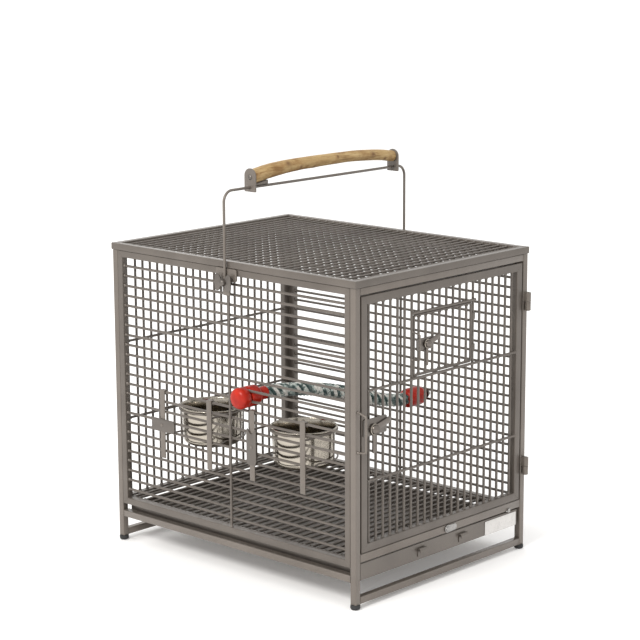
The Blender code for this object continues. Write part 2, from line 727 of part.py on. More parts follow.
def build_perch():
    axis = (0.0, 0.0, BAIL_AXIS_Z)
    xs = [-175.0, -160.0, -127.0, -100.0, -75.0, -48.0, -21.0, 20.0, 61.0, 90.0, 118.0, 146.0,
          175.0, 195.0, 209.0]
    path = [(x, 0.0, perch_shape(x)[0]) for x in xs]
    radii = [perch_shape(x)[1] for x in xs]
    simple("wood_perch", lambda bm: sweep(bm, path, radii, 12), "wood", axis)
    for tag, plate_x, wedge in (("left", (-180.0, -177.5), (-178.5, -138.0)),
                                ("right", (211.0, 213.5), (212.0, 182.0))):
        outline = [(-14.0, 702.0), (14.0, 702.0)] + arc(0.0, 730.5, 14.0, 0.0, 180.0, 8)
        inner_z, inner_r = perch_shape(wedge[1])
        outer_z, outer_r = perch_shape(wedge[0])
        profile = [(wedge[0], 713.1), (wedge[1], 713.1), (wedge[1], inner_z - inner_r - 0.7),
                   (wedge[0], outer_z - outer_r - 0.7)]
        side = -1.0 if plate_x[0] < 0 else 1.0
        face = plate_x[0] if side < 0 else plate_x[1]
        head = [(0.0, face - side * 0.8), (4.8, face - side * 0.8), (4.8, face + side * 0.6),
                (2.8, face + side * 2.0), (0.0, face + side * 2.4)]
        height = perch_shape(face)[0]
        bracket = united("perch_bracket_" + tag, [
            lambda bm: prism(bm, outline, "X", plate_x[0], plate_x[1]),
            lambda bm: prism(bm, profile, "Y", -5.0, 5.0),
            lambda bm: lathe(bm, head, "X", (0.0, height), 14)], "powder", axis)
        merge(bracket, simple("tool", lambda bm: prism(bm, circle(0.0, BAIL_TOP, 2.9, 12), "X",
                                                       plate_x[0] - 2.0, plate_x[1] + 2.0),
                              None, axis), "DIFFERENCE")


# ---------------------------------------------------------------- bowls
def build_bowl(number, yc):
    z = BOWL_RIM_Z
    outside = [(0.0, z - 72.0), (44.0, z - 72.0), (51.5, z - 69.5), (55.8, z - 64.0),
               (57.2, z - 40.0), (BOWL_RADIUS, z - 4.0), (60.3, z - 2.9), (61.6, z - 1.6),
               (61.0, z - 0.3), (59.4, z)]
    inside = [(57.6, z - 0.6), (57.0, z - 3.0), (56.2, z - 40.0), (54.8, z - 63.3),
              (50.8, z - 68.6), (43.8, z - 71.0), (0.0, z - 71.0)]
    simple("bowl_%d" % number, lambda bm: lathe(bm, outside + inside, "Z", (BOWL_X, yc), 28),
           "steel", (BOWL_X, yc, z))


def build_holder(number, yc, turned):
    bar_x = -(HALF_X - TUBE / 2.0)
    bar_z = (PANEL_LOW + POST_TOP) / 2.0 - 0.5 * PITCH
    out0 = bar_x - WIRE - 1.8
    out1 = bar_x - WIRE - 0.3
    in0 = bar_x + WIRE + 0.3
    in1 = bar_x + WIRE + 1.8
    top = bar_z + WIRE + 0.3
    hook = [(out0, 186.0), (out1, 186.0), (out1, top), (in0, top), (in0, bar_z - 6.0),
            (in1, bar_z - 6.0), (in1, top + 1.5), (out0, top + 1.5)]

    def hooks(bm):
        for sy in (-1, 1):
            y = yc + sy * STRAP_Y
            prism(bm, hook, "Y", y - 8.5, y + 8.5)

    def ring(bm):
        path = [(BOWL_X + a, yc + b, RING_Z) for a, b in circle(0.0, 0.0, 61.0, 28)]
        sweep(bm, path, 2.0, 8, True)

    def arms(bm):
        for sy in (-1, 1):
            y = yc + sy * 61.0
            sweep(bm, [(out1 - 0.8, y, RING_Z), (BOWL_X + 4.0, y, RING_Z)], 2.0, 8, False, 0.2)

    def studs(bm):
        prism(bm, circle(yc + STRAP_Y, LEVER_Z, 3.0, 12), "X", -240.8, out1 - 0.6)

    united("cup_holder_%d" % number, [hooks, ring, arms, studs], "powder")

    centre = yc + STRAP_Y
    half = (34.0, 12.0) if turned else (12.0, 34.0)
    notch = (11.0, 5.0) if turned else (5.0, 11.0)

    def plate(bm):
        if turned:
            outline = [(centre - half[0], LEVER_Z - half[1] + 3.0), (centre - half[0] + 6.0,
                       LEVER_Z - half[1]), (centre + half[0], LEVER_Z - half[1]),
                       (centre + half[0], LEVER_Z - 4.0), (centre + half[0] - notch[0], LEVER_Z),
                       (centre + half[0], LEVER_Z + 4.0), (centre + half[0], LEVER_Z + half[1]),
                       (centre - half[0] + 6.0, LEVER_Z + half[1]),
                       (centre - half[0], LEVER_Z + half[1] - 3.0)]
        else:
            outline = [(centre - half[0], LEVER_Z - half[1] + 6.0), (centre - half[0] + 3.0,
                       LEVER_Z - half[1]), (centre + half[0] - 3.0, LEVER_Z - half[1]),
                       (centre + half[0], LEVER_Z - half[1] + 6.0),
                       (centre + half[0], LEVER_Z + half[1]), (centre + 4.0, LEVER_Z + half[1]),
                       (centre, LEVER_Z + half[1] - notch[1]), (centre - 4.0, LEVER_Z + half[1]),
                       (centre - half[0], LEVER_Z + half[1])]
        prism(bm, outline, "X", -240.4, -238.1)

    body = simple("cup_lever_%d" % number, plate, "zinc", (-239.25, centre, LEVER_Z))
    merge(body, simple("tool", lambda bm: prism(bm, circle(centre, LEVER_Z, 3.4, 12), "X",
                                                -242.0, -236.0), None), "DIFFERENCE")


# ---------------------------------------------------------------- rope perch
def rope_point(mix):
    """Centre line of the rope between the caps, mix from 0 to 1."""
    x = ROPE_SPAN[0] + mix * (ROPE_SPAN[1] - ROPE_SPAN[0])
    y = ROPE_LEFT[0] + mix * (ROPE_RIGHT[0] - ROPE_LEFT[0])
    ease = mix * mix * (3.0 - 2.0 * mix)
    z = ROPE_LEFT[1] + ease * (ROPE_RIGHT[1] - ROPE_LEFT[1])
    z += 7.0 * math.sin(math.pi * mix) ** 2
    return (x, y, z)


def bored(name, profile, centre, bore, look):
    """Turned piece about X with a hole; bore is (radius, start, end)."""
    body = simple(name, lambda bm: lathe(bm, profile, "X", centre, 20), look)
    merge(body, simple("tool", lambda bm: prism(bm, circle(*centre, bore[0], 12), "X",
                                                *sorted(bore[1:])), None), "DIFFERENCE")
    return body


def build_rope_perch():
    steps = 16
    path = [rope_point(i / steps) for i in range(steps + 1)]
    simple("perch_rope", lambda bm: sweep(bm, path, 13.0, 10), "rope")

    shank = [(-250.0, -199.7), (197.7, 244.0)]
    dome = [(0.0, -236.25), (19.5, -236.25), (19.8, -247.0), (18.6, -253.0), (15.0, -256.6),
            (8.0, -258.0), (0.0, -258.0)]
    united("rope_nut_left", [
        lambda bm: lathe(bm, dome, "X", ROPE_LEFT, 20),
        lambda bm: prism(bm, circle(*ROPE_LEFT, 2.4, 12), "X", *shank[0])], "red")
    cap = [(0.0, -231.1), (18.8, -231.1), (19.4, -226.0), (19.4, -210.0), (17.0, -206.5),
           (12.2, -204.5), (11.6, -184.5), (10.6, -183.0), (0.0, -183.0)]
    bored("rope_cap_left", cap, ROPE_LEFT, (2.8, -236.0, -199.0), "red")

    cap = [(0.0, 176.0), (14.5, 176.0), (18.6, 180.0), (18.8, 214.0), (17.6, 219.5),
           (9.4, 231.1), (0.0, 231.1)]
    bored("rope_cap_right", cap, ROPE_RIGHT, (2.8, 236.0, 197.0), "red")
    head = [(0.0, 236.25), (8.4, 236.25), (8.4, 242.6), (5.6, 246.8), (0.0, 247.6)]
    united("rope_bolt_right", [
        lambda bm: lathe(bm, head, "X", ROPE_RIGHT, 20),
        lambda bm: prism(bm, circle(*ROPE_RIGHT, 2.4, 12), "X", *shank[1])], "zinc")


def main():
    clear_scene()
    build_posts()
    build_side_panel("left", -1)
    build_side_panel("right", 1)
    build_rear_panel()
    build_rails()
    build_roof()
    build_ledges()
    build_grille()
    build_tray()
    build_turn_button()
    build_door()
    build_hinge("upper", (465.0, 481.7), (482.1, 499.0), (473.0, 478.0))
    build_hinge("lower", (148.5, 164.7), (165.1, 182.0), (158.0, 163.0))
    build_door_latch()
    build_small_door()
    build_bail()
    build_bail_mount("left", -1)
    build_bail_mount("right", 1)
    build_perch()
    build_holder(1, BOWL_Y, True)
    build_holder(2, -BOWL_Y, False)
    build_bowl(1, BOWL_Y)
    build_bowl(2, -BOWL_Y)
    build_rope_perch()


main()
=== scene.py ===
"""Looks of the bird travel cage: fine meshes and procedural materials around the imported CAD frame.

Shapes are drawn as in the CAD source: in millimetres of the half-inch pattern, about the cage
body's own centre. `piece` brings them to this cage's size, in metres, with the same shift along Y.
"""
from math import asin, cos, degrees, exp, pi, radians, remainder, sin, tan, tau

import bmesh
import bpy
from mathutils import Matrix, Vector, noise


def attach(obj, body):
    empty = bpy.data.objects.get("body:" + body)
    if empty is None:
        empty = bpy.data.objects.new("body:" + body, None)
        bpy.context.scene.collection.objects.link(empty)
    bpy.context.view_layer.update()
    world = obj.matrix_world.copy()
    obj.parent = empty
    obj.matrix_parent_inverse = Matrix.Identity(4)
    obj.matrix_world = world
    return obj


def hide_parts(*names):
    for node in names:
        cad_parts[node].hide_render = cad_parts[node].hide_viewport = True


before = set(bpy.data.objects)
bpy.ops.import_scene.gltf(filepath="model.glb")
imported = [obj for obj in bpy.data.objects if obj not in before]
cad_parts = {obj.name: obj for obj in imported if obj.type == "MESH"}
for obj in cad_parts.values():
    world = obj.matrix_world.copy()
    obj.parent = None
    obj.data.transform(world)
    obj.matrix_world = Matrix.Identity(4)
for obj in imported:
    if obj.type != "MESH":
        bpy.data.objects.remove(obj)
scene = bpy.context.scene


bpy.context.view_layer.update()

MM = 0.001 * 0.75       # three-eighths-inch tube from the half-inch drawing
SHIFT_Y = 9.17
HALF_X, HALF_Y, TUBE, CORNER = 240.0, 308.0, 12.7, 1.5
MID_X, MID_Y = HALF_X - TUBE / 2.0, HALF_Y - TUBE / 2.0         # centre lines of the posts
IN_X, IN_Y = HALF_X - TUBE - 0.3, HALF_Y - TUBE - 0.3           # half widths between them
POST_LOW, POST_TOP, ROOF_TOP, PANEL_LOW = 9.3, 571.0, 584.0, 75.2
PANEL_MID = (PANEL_LOW + POST_TOP) / 2.0
BITE = 0.1              # how far a bar runs into the frame it is welded to
BAR_LOW, BAR_TOP = PANEL_LOW + TUBE - BITE, POST_TOP - TUBE + BITE
WIRE, ROOF_WIRE, PITCH = 2.45, 1.9, 19.0
LUMP, BRACE = 1.8, 3.4  # from a bar's centre to its spot weld and to the brace behind it
BASE_RAIL_Z, SIDE_RAIL_Z, CROSSBAR_Z = 15.65, 54.85, (84.4, 99.4)
REAR_BRACES, DOOR_BRACE = (240.0, 391.0), 227.0
ROOF_LONG_Z, ROOF_CROSS_Z = 576.4, 580.0
GRILLE_Z, GRILLE_BAR_Z, GRILLE_X, GRILLE_Y = (81.4, 86.4), 83.9, 221.6, 289.0
BAR_Y = -HALF_Y + TUBE / 2.0
DOOR_X, DOOR_Z, DOOR_TUBE = 223.9, (100.2, 555.4), 15.0
HINGE_X, HINGE_Y = 234.0, -314.0
HATCH_X, HATCH_LOW, HATCH_TOP = 4.5 * PITCH, 388.0, 506.0
LATCH, HATCH_LATCH, LEVER_TILT = (-197.0, 320.0), (-50.0, 447.0), 14.0
BAIL_X, BAIL_AXIS, BAIL_TOP, BAIL_ROD = 246.1, 546.0, 710.0, 2.5
BOWL_X, BOWL_Y, BOWL_RIM, RING_Z = -168.5, 118.0, 288.0, 282.4
LOWER_RING_Z, STRAP_Y, LEVER_Z = 231.0, 62.5, 250.0
ROPE_LEFT, ROPE_RIGHT, ROPE_SPAN = (-35.0, 338.0), (-64.0, 265.0), (-181.5, 174.5)
STRANDS, LAY, LAY_PITCH, ROPE_LENGTH, ROPE_RADIUS = 6, 8.2, 56.0, 372.0, 12.9
TRAY_FACE, TRAY_BACK, TRAY_FRONT, TRAY_WALL, TRAY_LOW = -304.0, 291.0, 222.6, 222.0, 50.4


# ---------------- materials
KNOTS = ((-92.0, 2.5, 6.5), (-58.0, 3.5, 5.0), (-20.0, 4.0, 5.5), (44.0, 2.7, 4.0),
         (142.0, 2.9, 6.5), (178.0, 3.7, 4.0))      # place, angle and size of each knot
PERCH = ((-178.0, 728.6, 13.4), (-127.0, 735.6, 13.0), (-75.0, 739.6, 12.0), (-21.0, 741.0, 11.3),
         (61.0, 741.6, 10.6), (118.0, 740.4, 10.5), (175.0, 736.0, 10.6), (212.0, 730.6, 10.6))


def perch_shape(x):
    """Height and radius of the branch at x: a smooth curve through the rows of PERCH."""
    i = sum(x > row[0] for row in PERCH[1:-1])
    a, b = PERCH[i], PERCH[i + 1]
    before, after = PERCH[max(i - 1, 0)], PERCH[min(i + 2, len(PERCH) - 1)]
    mix = (x - a[0]) / (b[0] - a[0])
    t2, t3 = mix * mix, mix ** 3
    out = []
    for k in (1, 2):
        m0 = (b[k] - before[k]) / (b[0] - before[0]) * (b[0] - a[0])
        m1 = (after[k] - a[k]) / (after[0] - a[0]) * (b[0] - a[0])
        out.append((2 * t3 - 3 * t2 + 1) * a[k] + (t3 - 2 * t2 + mix) * m0
                   + (3 * t2 - 2 * t3) * b[k] + (t3 - t2) * m1)
    return out


class Nodes:
    """Small helper that wires shader nodes."""

    def __init__(self, name):
        self.mat = bpy.data.materials.new(name)
        self.mat.use_nodes = True
        self.tree = self.mat.node_tree
        self.shader = self.tree.nodes["Principled BSDF"]
        self.coords = self.tree.nodes.new("ShaderNodeTexCoord").outputs["Object"]

    def feed(self, socket, value):
        """Link a socket to another node's output, or set its own value."""
        if isinstance(value, bpy.types.NodeSocket):
            self.tree.links.new(value, socket)
        else:
            socket.default_value = value

    def add(self, kind, **settings):
        node = self.tree.nodes.new(kind)
        for key, value in settings.items():
            if key in node.inputs:
                self.feed(node.inputs[key], value)
            else:
                setattr(node, key, value)
        return node

    def stretched(self, scale):
        node = self.add("ShaderNodeMapping", Scale=scale, Vector=self.coords)
        return node.outputs["Vector"]

    def noise(self, scale, detail=4.0, rough=0.55, vector=None, distortion=0.0):
        node = self.add("ShaderNodeTexNoise", Scale=scale, Detail=detail, Roughness=rough,
                        Distortion=distortion, Vector=vector or self.coords)
        return node.outputs["Fac"]

    def ramp(self, fac, stops):
        node = self.add("ShaderNodeValToRGB", Fac=fac)
        ramp = node.color_ramp
        while len(ramp.elements) < len(stops):
            ramp.elements.new(0.5)
        for element, (position, colour) in zip(ramp.elements, stops):
            element.position = position
            element.color = (*colour, 1.0)
        return node.outputs["Color"]

    def grey(self, fac, low, high, start=0.3, end=0.7):
        return self.ramp(fac, [(start, (low,) * 3), (end, (high,) * 3)])

    def mix(self, fac, a, b, blend="MIX"):
        node = self.add("ShaderNodeMix", data_type="RGBA", blend_type=blend)
        for index, value in ((0, fac), (6, a), (7, b)):
            self.feed(node.inputs[index], value)
        return node.outputs[2]

    def bump(self, height, strength, distance, normal=(0.0, 0.0, 0.0)):
        return self.add("ShaderNodeBump", Strength=strength, Distance=distance, Height=height,
                        Normal=normal).outputs["Normal"]

    def surface(self, colour, rough, normal=(0.0, 0.0, 0.0), **others):
        """Fill the shader; other sockets are named with _ for the space."""
        values = {"Base Color": colour, "Roughness": rough, "Normal": normal}
        values.update((key.replace("_", " "), value) for key, value in others.items())
        for name, value in values.items():
            self.feed(self.shader.inputs[name], value)
        return self.mat


def powder_coat(name, light, dark, rough=(0.34, 0.50)):
    """Powder coat: orange peel, fine flake and slight clouding."""
    n = Nodes(name)
    clouds = n.noise(14.0, 5.0)
    flake = n.noise(2600.0, 2.0, 0.7)
    peel = n.noise(900.0, 2.0, 0.5)
    body = n.ramp(clouds, [(0.3, dark), (0.7, light)])
    sparkle = n.grey(flake, 0.80, 1.16, 0.35, 0.68)
    return n.surface(n.mix(1.0, body, sparkle, "MULTIPLY"),
        n.grey(n.noise(45.0, 6.0, 0.65), *rough), n.bump(peel, 0.22, 0.00025),
        Metallic=0.35, Coat_Weight=0.30, Coat_Roughness=0.22)


def polished_steel(name, colour, rough, grain, scratch=0.10):
    """Polished or plated steel with hairline scratches and faint smears."""
    n = Nodes(name)
    lines = n.noise(220.0, 8.0, 0.7, n.stretched(grain))
    smears = n.noise(26.0, 4.0, 0.6)
    spots = n.noise(600.0, 2.0, 0.5)
    tone = n.grey(lines, 0.86, 1.0, 0.25, 0.75)
    return n.surface(n.mix(1.0, tone, (*colour, 1.0), "MULTIPLY"),
        n.mix(0.35, n.grey(smears, *rough), n.grey(lines, rough[0], rough[1] * 1.5)),
        n.bump(spots, 0.05, 0.0002, n.bump(lines, scratch, 0.0001)), Metallic=1.0)


def wood_material(name):
    """Peeled branch: long grain, darker knots, remains of bark."""
    n = Nodes(name)
    along = n.stretched((0.11, 1.0, 1.0))
    grain = n.noise(330.0, 10.0, 0.72, along, 0.6)
    streak = n.noise(85.0, 6.0, 0.6, along, 0.8)
    patch = n.noise(30.0, 4.0, 0.6)
    pale = n.ramp(streak, [(0.30, (0.19, 0.108, 0.038)), (0.48, (0.375, 0.250, 0.108)),
                           (0.72, (0.49, 0.360, 0.180))])
    fine = n.ramp(grain, [(0.32, (0.45, 0.34, 0.24)), (0.52, (1.0, 1.0, 1.0))])
    wood = n.mix(0.85, pale, fine, "MULTIPLY")
    bark = n.ramp(patch, [(0.36, (0.50, 0.33, 0.17)), (0.50, (1.0, 1.0, 1.0))])
    wood = n.mix(0.6, wood, bark, "MULTIPLY")
    for x, angle, size in KNOTS:
        z, radius = perch_shape(x)
        gap = n.add("ShaderNodeVectorMath", operation="DISTANCE")
        n.feed(gap.inputs[0], n.coords)
        gap.inputs[1].default_value = (x * MM, (radius * cos(angle) + SHIFT_Y) * MM,
                                       (z + radius * sin(angle)) * MM)
        mask = n.ramp(gap.outputs["Value"], [(size * 0.4 * MM, (1.0,) * 3),
                                             (size * MM, (0.0,) * 3)])
        wood = n.mix(mask, wood, (0.13, 0.062, 0.026, 1.0))
    return n.surface(wood, n.grey(grain, 0.78, 0.55),
        n.bump(streak, 0.5, 0.0012, n.bump(grain, 0.6, 0.0005)),
        Specular_IOR_Level=0.3)


def plastic(name, light, dark, rough, bump=0.06, coat=0.0, shine=0.5):
    n = Nodes(name)
    haze = n.noise(60.0, 4.0, 0.6)
    pit = n.noise(1500.0, 2.0, 0.5)
    return n.surface(n.ramp(haze, [(0.3, dark), (0.7, light)]),
        n.grey(n.noise(160.0, 5.0, 0.7), *rough), n.bump(pit, bump, 0.0002),
        Coat_Weight=coat, Coat_Roughness=0.08, Specular_IOR_Level=shine)


def rope_material(name, places, size):
    """Cotton strand of mixed yarns: flecks of several colours, fibres along the lay, fluff."""
    n = Nodes(name)
    fibre = n.noise(1100.0, 6.0, 0.75, n.stretched((0.35, 1.0, 1.0)), 0.3)
    fleck = n.noise(size, 3.0, 0.65, n.stretched((0.6, 1.0, 1.0)), 0.8)
    fluff = n.noise(260.0, 4.0, 0.6)
    yarn = n.ramp(fleck, list(zip(places, YARNS)))
    return n.surface(n.mix(1.0, yarn, n.grey(fibre, 0.55, 1.1, 0.30, 0.66), "MULTIPLY"),
        n.grey(fluff, 0.82, 0.95),
        n.bump(fluff, 0.5, 0.0006, n.bump(fibre, 0.9, 0.0005)),
        Sheen_Weight=0.3, Sheen_Roughness=0.5, Specular_IOR_Level=0.2)


POWDER = powder_coat("powder_coat_grey", (0.175, 0.150, 0.129), (0.140, 0.119, 0.101))
POWDER_WIRE = powder_coat("powder_coat_wire", (0.136, 0.116, 0.099), (0.100, 0.084, 0.071),
    (0.36, 0.52))
POWDER_TRAY = powder_coat("powder_coat_tray", (0.145, 0.125, 0.107), (0.115, 0.098, 0.084),
    (0.28, 0.42))
# Bowl steel colour is darker and warmer than bare stainless: painted reflection of a dark, warm
# studio in the bowls
STAINLESS_PAINTED_REFLECTION = polished_steel("stainless_bowl_painted_reflection", (0.46, 0.42, 0.36), (0.08, 0.19), (0.3, 0.3, 9.0))
BRIGHT = polished_steel("bright_latch_steel", (0.36, 0.35, 0.34), (0.16, 0.30), (1.0, 1.0, 6.0))
LEVER = polished_steel("lever_steel", (0.185, 0.164, 0.148), (0.18, 0.34), (1.0, 1.0, 6.0))
ZINC = polished_steel("zinc_plated_steel", (0.175, 0.158, 0.144), (0.26, 0.44),
    (2.0, 2.0, 2.0), 0.2)
WOOD = wood_material("peeled_branch")
RED = plastic("red_moulded_plastic", (0.45, 0.020, 0.007), (0.28, 0.010, 0.004), (0.24, 0.40),
    0.10, 0.03, 0.22)
RUBBER = plastic("black_rubber", (0.030, 0.030, 0.031), (0.015, 0.015, 0.016), (0.62, 0.82), 0.5)
LABEL = plastic("blank_badge", (0.68, 0.66, 0.64), (0.62, 0.60, 0.58), (0.22, 0.36), 0.03)
YARNS = ((0.020, 0.052, 0.047), (0.13, 0.17, 0.165), (0.47, 0.56, 0.52), (0.78, 0.76, 0.71))
ROPE_PALE = rope_material("rope_undyed_cotton", (0.36, 0.43, 0.47, 0.54), 78.0)
ROPE_DARK = rope_material("rope_green_cotton", (0.44, 0.52, 0.57, 0.62), 92.0)
ROPE_MID = rope_material("rope_grey_green_cotton", (0.38, 0.46, 0.54, 0.60), 66.0)


# ---------------- mesh code, in millimetres
def along(axis, a, b, t):
    """Point t along an axis, with a and b on the other two axes in their order."""
    return Vector({"X": (t, a, b), "Y": (a, t, b), "Z": (a, b, t)}[axis])


def circle(cx, cy, radius, sides):
    step = tau / sides
    return [(cx + radius * cos(i * step), cy + radius * sin(i * step)) for i in range(sides)]


def arc(cx, cy, radius, first, last, steps=8):
    angles = [radians(first + (last - first) * i / steps) for i in range(steps + 1)]
    return [(cx + radius * cos(t), cy + radius * sin(t)) for t in angles]


def rounded(a, b, radius=CORNER, steps=5):
    """Rectangle with rounded corners."""
    corners = ((a[1] - radius, b[0] + radius), (a[1] - radius, b[1] - radius),
               (a[0] + radius, b[1] - radius), (a[0] + radius, b[0] + radius))
    out = []
    for quarter, (x, y) in enumerate(corners, -1):
        out += arc(x, y, radius, quarter * 90.0, quarter * 90.0 + 90.0, steps)
    return out


def around(middle, half=TUBE / 2.0):
    return (middle - half, middle + half)


def mirrored(side, near, far):
    """Both ends of a stretch on one side of the middle, the lower one first."""
    return sorted((side * near, side * far))


def fillet(outline, radius, steps=4):
    """Round every corner of a closed 2-D outline."""
    points = [Vector(p) for p in outline]
    out = []
    for before, here, after in zip(points[-1:] + points, points, points[1:] + points[:1]):
        one, two = before - here, after - here
        reach = min(radius, one.length * 0.45, two.length * 0.45)
        start = here + one.normalized() * reach
        end = here + two.normalized() * reach
        for k in range(steps + 1):
            t = k / steps
            point = start * (1 - t) ** 2 + here * (2 * t * (1 - t)) + end * t ** 2
            out.append((point.x, point.y))
    return out


def skin(bm, rings, closed=False, caps=True):
    """Faces between rings of vertices."""
    pairs = list(zip(rings, rings[1:]))
    if closed:
        pairs.append((rings[-1], rings[0]))
    for near, far in pairs:
        n = max(len(near), len(far))
        for i in range(n):
            j = (i + 1) % n
            if len(near) == 1:
                bm.faces.new((near[0], far[i], far[j]))
            elif len(far) == 1:
                bm.faces.new((near[i], near[j], far[0]))
            else:
                bm.faces.new((near[i], near[j], far[j], far[i]))
    if caps and not closed:
        for ring in (rings[0], rings[-1]):
            if len(ring) > 2:
                bm.faces.new(ring)


def prism(bm, outline, axis, low, high, edge=0.0):
    """Extruded outline; edge rounds the rims by shrinking the last rings towards the middle."""
    if edge <= 0.0:
        levels = [(low, 0.0), (high, 0.0)]
    else:
        levels = [(low, edge), (low + 0.3 * edge, 0.3 * edge), (low + edge, 0.0),
                  (high - edge, 0.0), (high - 0.3 * edge, 0.3 * edge), (high, edge)]
    count = len(outline)
    area = sum(outline[i - 1][0] * outline[i][1] - outline[i][0] * outline[i - 1][1]
               for i in range(count))
    turn = 1.0 if area > 0 else -1.0
    normals = []
    for i in range(count):
        tangent = (Vector(outline[(i + 1) % count]) - Vector(outline[i - 1])).normalized()
        normals.append(Vector((-tangent.y, tangent.x)) * turn)
    rings = []
    for t, inset in levels:
        rings.append([bm.verts.new(along(axis, p[0] + q.x * inset, p[1] + q.y * inset, t))
                      for p, q in zip(outline, normals)])
    skin(bm, rings)


def disc(bm, axis, centre, radius, low, high, sides=24, edge=0.0):
    prism(bm, circle(*centre, radius, sides), axis, low, high, edge)


def lathe(bm, profile, axis, centre, sides=32, closed=False):
    """Turned shape from (radius, height) pairs; a closed profile returns to its first pair."""
    rings = []
    for radius, t in profile:
        outline = circle(*centre, radius, sides) if radius >= 1e-6 else [centre]
        rings.append([bm.verts.new(along(axis, a, b, t)) for a, b in outline])
    if closed:
        rings.append(rings[0])
    for near, far in zip(rings, rings[1:]):
        if len(near) > 1 or len(far) > 1:
            skin(bm, [near, far], caps=False)


def frames(points, closed):
    """A turning frame (point, normal, side) at each point of a path."""
    first, last = (points[-1], points[0]) if closed else (points[0], points[-1])
    tangents = [((here - before).normalized() + (after - here).normalized()).normalized()
                for before, here, after in zip([first] + points, points, points[1:] + [last])]
    normal = tangents[0].orthogonal().normalized()
    out = []
    for point, tangent in zip(points, tangents):
        normal = (normal - tangent * normal.dot(tangent)).normalized()
        out.append((point, normal, tangent.cross(normal)))
    return out


def sweep(bm, path, radius, sides=12, closed=False):
    """Round bar along a path; radius is a number or one per point."""
    points = [Vector(p) for p in path]
    radii = radius if isinstance(radius, (list, tuple)) else [radius] * len(points)
    rings = []
    for (point, normal, side), r in zip(frames(points, closed), radii):
        ring = []
        for k in range(sides):
            angle = tau * k / sides
            ring.append(bm.verts.new(point + (normal * cos(angle) + side * sin(angle)) * r))
        rings.append(ring)
    skin(bm, rings, closed)


def bent(points, radius, steps=7):
    """Polyline with rounded inner corners."""
    pts = [Vector(p) for p in points]
    out = [pts[0]]
    for before, here, after in zip(pts, pts[1:], pts[2:]):
        one = (before - here).normalized()
        two = (after - here).normalized()
        half = one.angle(two) / 2.0
        reach = radius / tan(half)
        start, end = here + one * reach, here + two * reach
        centre = here + (one + two).normalized() * (radius / sin(half))
        for i in range(steps + 1):
            mix = i / steps
            direction = ((start - centre) * (1 - mix) + (end - centre) * mix).normalized()
            out.append(centre + direction * radius)
    out.append(pts[-1])
    return out


def mitre_frame(bm, axis, a, b, width, low, high):
    """Welded rectangle of square tube with mitred corners and a dressed weld on each mitre."""
    half_w, half_t = width / 2.0, (high - low) / 2.0
    middle = (low + high) / 2.0
    profile = rounded((-half_w, half_w), (-half_t, half_t))
    corners = [(a[0] + half_w, b[0] + half_w, -1, -1), (a[1] - half_w, b[0] + half_w, 1, -1),
               (a[1] - half_w, b[1] - half_w, 1, 1), (a[0] + half_w, b[1] - half_w, -1, 1)]
    rings = []
    for ca, cb, sa, sb in corners:
        rings.append([bm.verts.new(along(axis, ca + sa * u, cb + sb * u, middle + v))
                      for u, v in profile])
    skin(bm, rings, closed=True)
    for ca, cb, sa, sb in corners:
        for face in (-1, 1):
            path = []
            for i in range(9):
                u = -half_w + 1.0 + (width - 2.0) * i / 8.0
                lift = half_t - 0.12 + 0.10 * sin(i * 2.3 + ca)
                path.append(along(axis, ca + sa * u, cb + sb * u, middle + face * lift))
            sweep(bm, path, 0.42, 6)


def wire(bm, start, end, radius=WIRE, welds=(True, True)):
    """Straight bar; a fillet of weld metal runs round each end that meets a frame."""
    a, b = Vector(start), Vector(end)
    sweep(bm, [a, b], radius)
    direction = (b - a).normalized()
    for wanted, foot, out in ((welds[0], a, direction), (welds[1], b, -direction)):
        if wanted:
            swell = 1.0 + 0.12 * noise.noise(foot * 0.37)
            steps = [0.2, 1.7, 2.3, 3.0, 3.9]
            sizes = [radius + 1.3, radius + 1.0, radius + 0.55, radius + 0.22, radius * 0.96]
            sweep(bm, [foot + out * s for s in steps], [r * swell for r in sizes], 10)


def hoop(bm, axis, outline, t, radius, sides):
    """Closed ring that follows a flat outline."""
    sweep(bm, [along(axis, a, b, t) for a, b in outline], radius, sides, closed=True)


def bead_ring(bm, axis, outline, t):
    """Weld bead around the end of a tube."""
    radii = [0.55 * (1.0 + 0.35 * noise.noise(along(axis, a, b, t) * 0.9)) for a, b in outline]
    hoop(bm, axis, outline, t, radii, 6)


def crossing(bm, point, axis, size):
    """Flattened lump where two crossed wires are resistance-welded."""
    x, y, z = point
    a, b, t = {"X": (y, z, x), "Y": (x, z, y), "Z": (x, y, z)}[axis]
    lathe(bm, [(0.0, t - size), (size * 0.9, t - size * 0.5), (size * 1.05, t),
               (size * 0.9, t + size * 0.5), (0.0, t + size)], axis, (a, b), 8)


def spaced(count):
    """Places of a row of bars, centred on zero."""
    return [(i - (count - 1) / 2.0) * PITCH for i in range(count)]


def add_object(name, data):
    ob = bpy.data.objects.new(name, data)
    scene.collection.objects.link(ob)
    return ob


def drawn(name, draw, smooth=True):
    """New object with the drawn mesh, at this cage's size and in metres."""
    bm = bmesh.new()
    draw(bm)
    bmesh.ops.recalc_face_normals(bm, faces=bm.faces)
    for vert in bm.verts:
        vert.co = Vector((vert.co.x, vert.co.y + SHIFT_Y, vert.co.z)) * MM
    for face in bm.faces:
        face.smooth = smooth
    mesh = bpy.data.meshes.new(name)
    bm.to_mesh(mesh)
    bm.free()
    return add_object(name, mesh)


def piece(name, draw, material, body, replaces="", bevel=0.0, angle=35.0):
    """One visible piece: mesh, material, body, slot and the node it stands for."""
    ob = drawn(name, draw)
    ob.data.materials.append(material)
    if bevel > 0.0:
        mod = ob.modifiers.new("edge", "BEVEL")
        mod.width = bevel * MM
        mod.segments = 3
        mod.limit_method = "ANGLE"
        mod.angle_limit = radians(angle)
        mod.harden_normals = True
    else:
        ob.data.set_sharp_from_angle(angle=radians(angle))
    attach(ob, body)
    if replaces:
        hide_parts(replaces)
    return ob


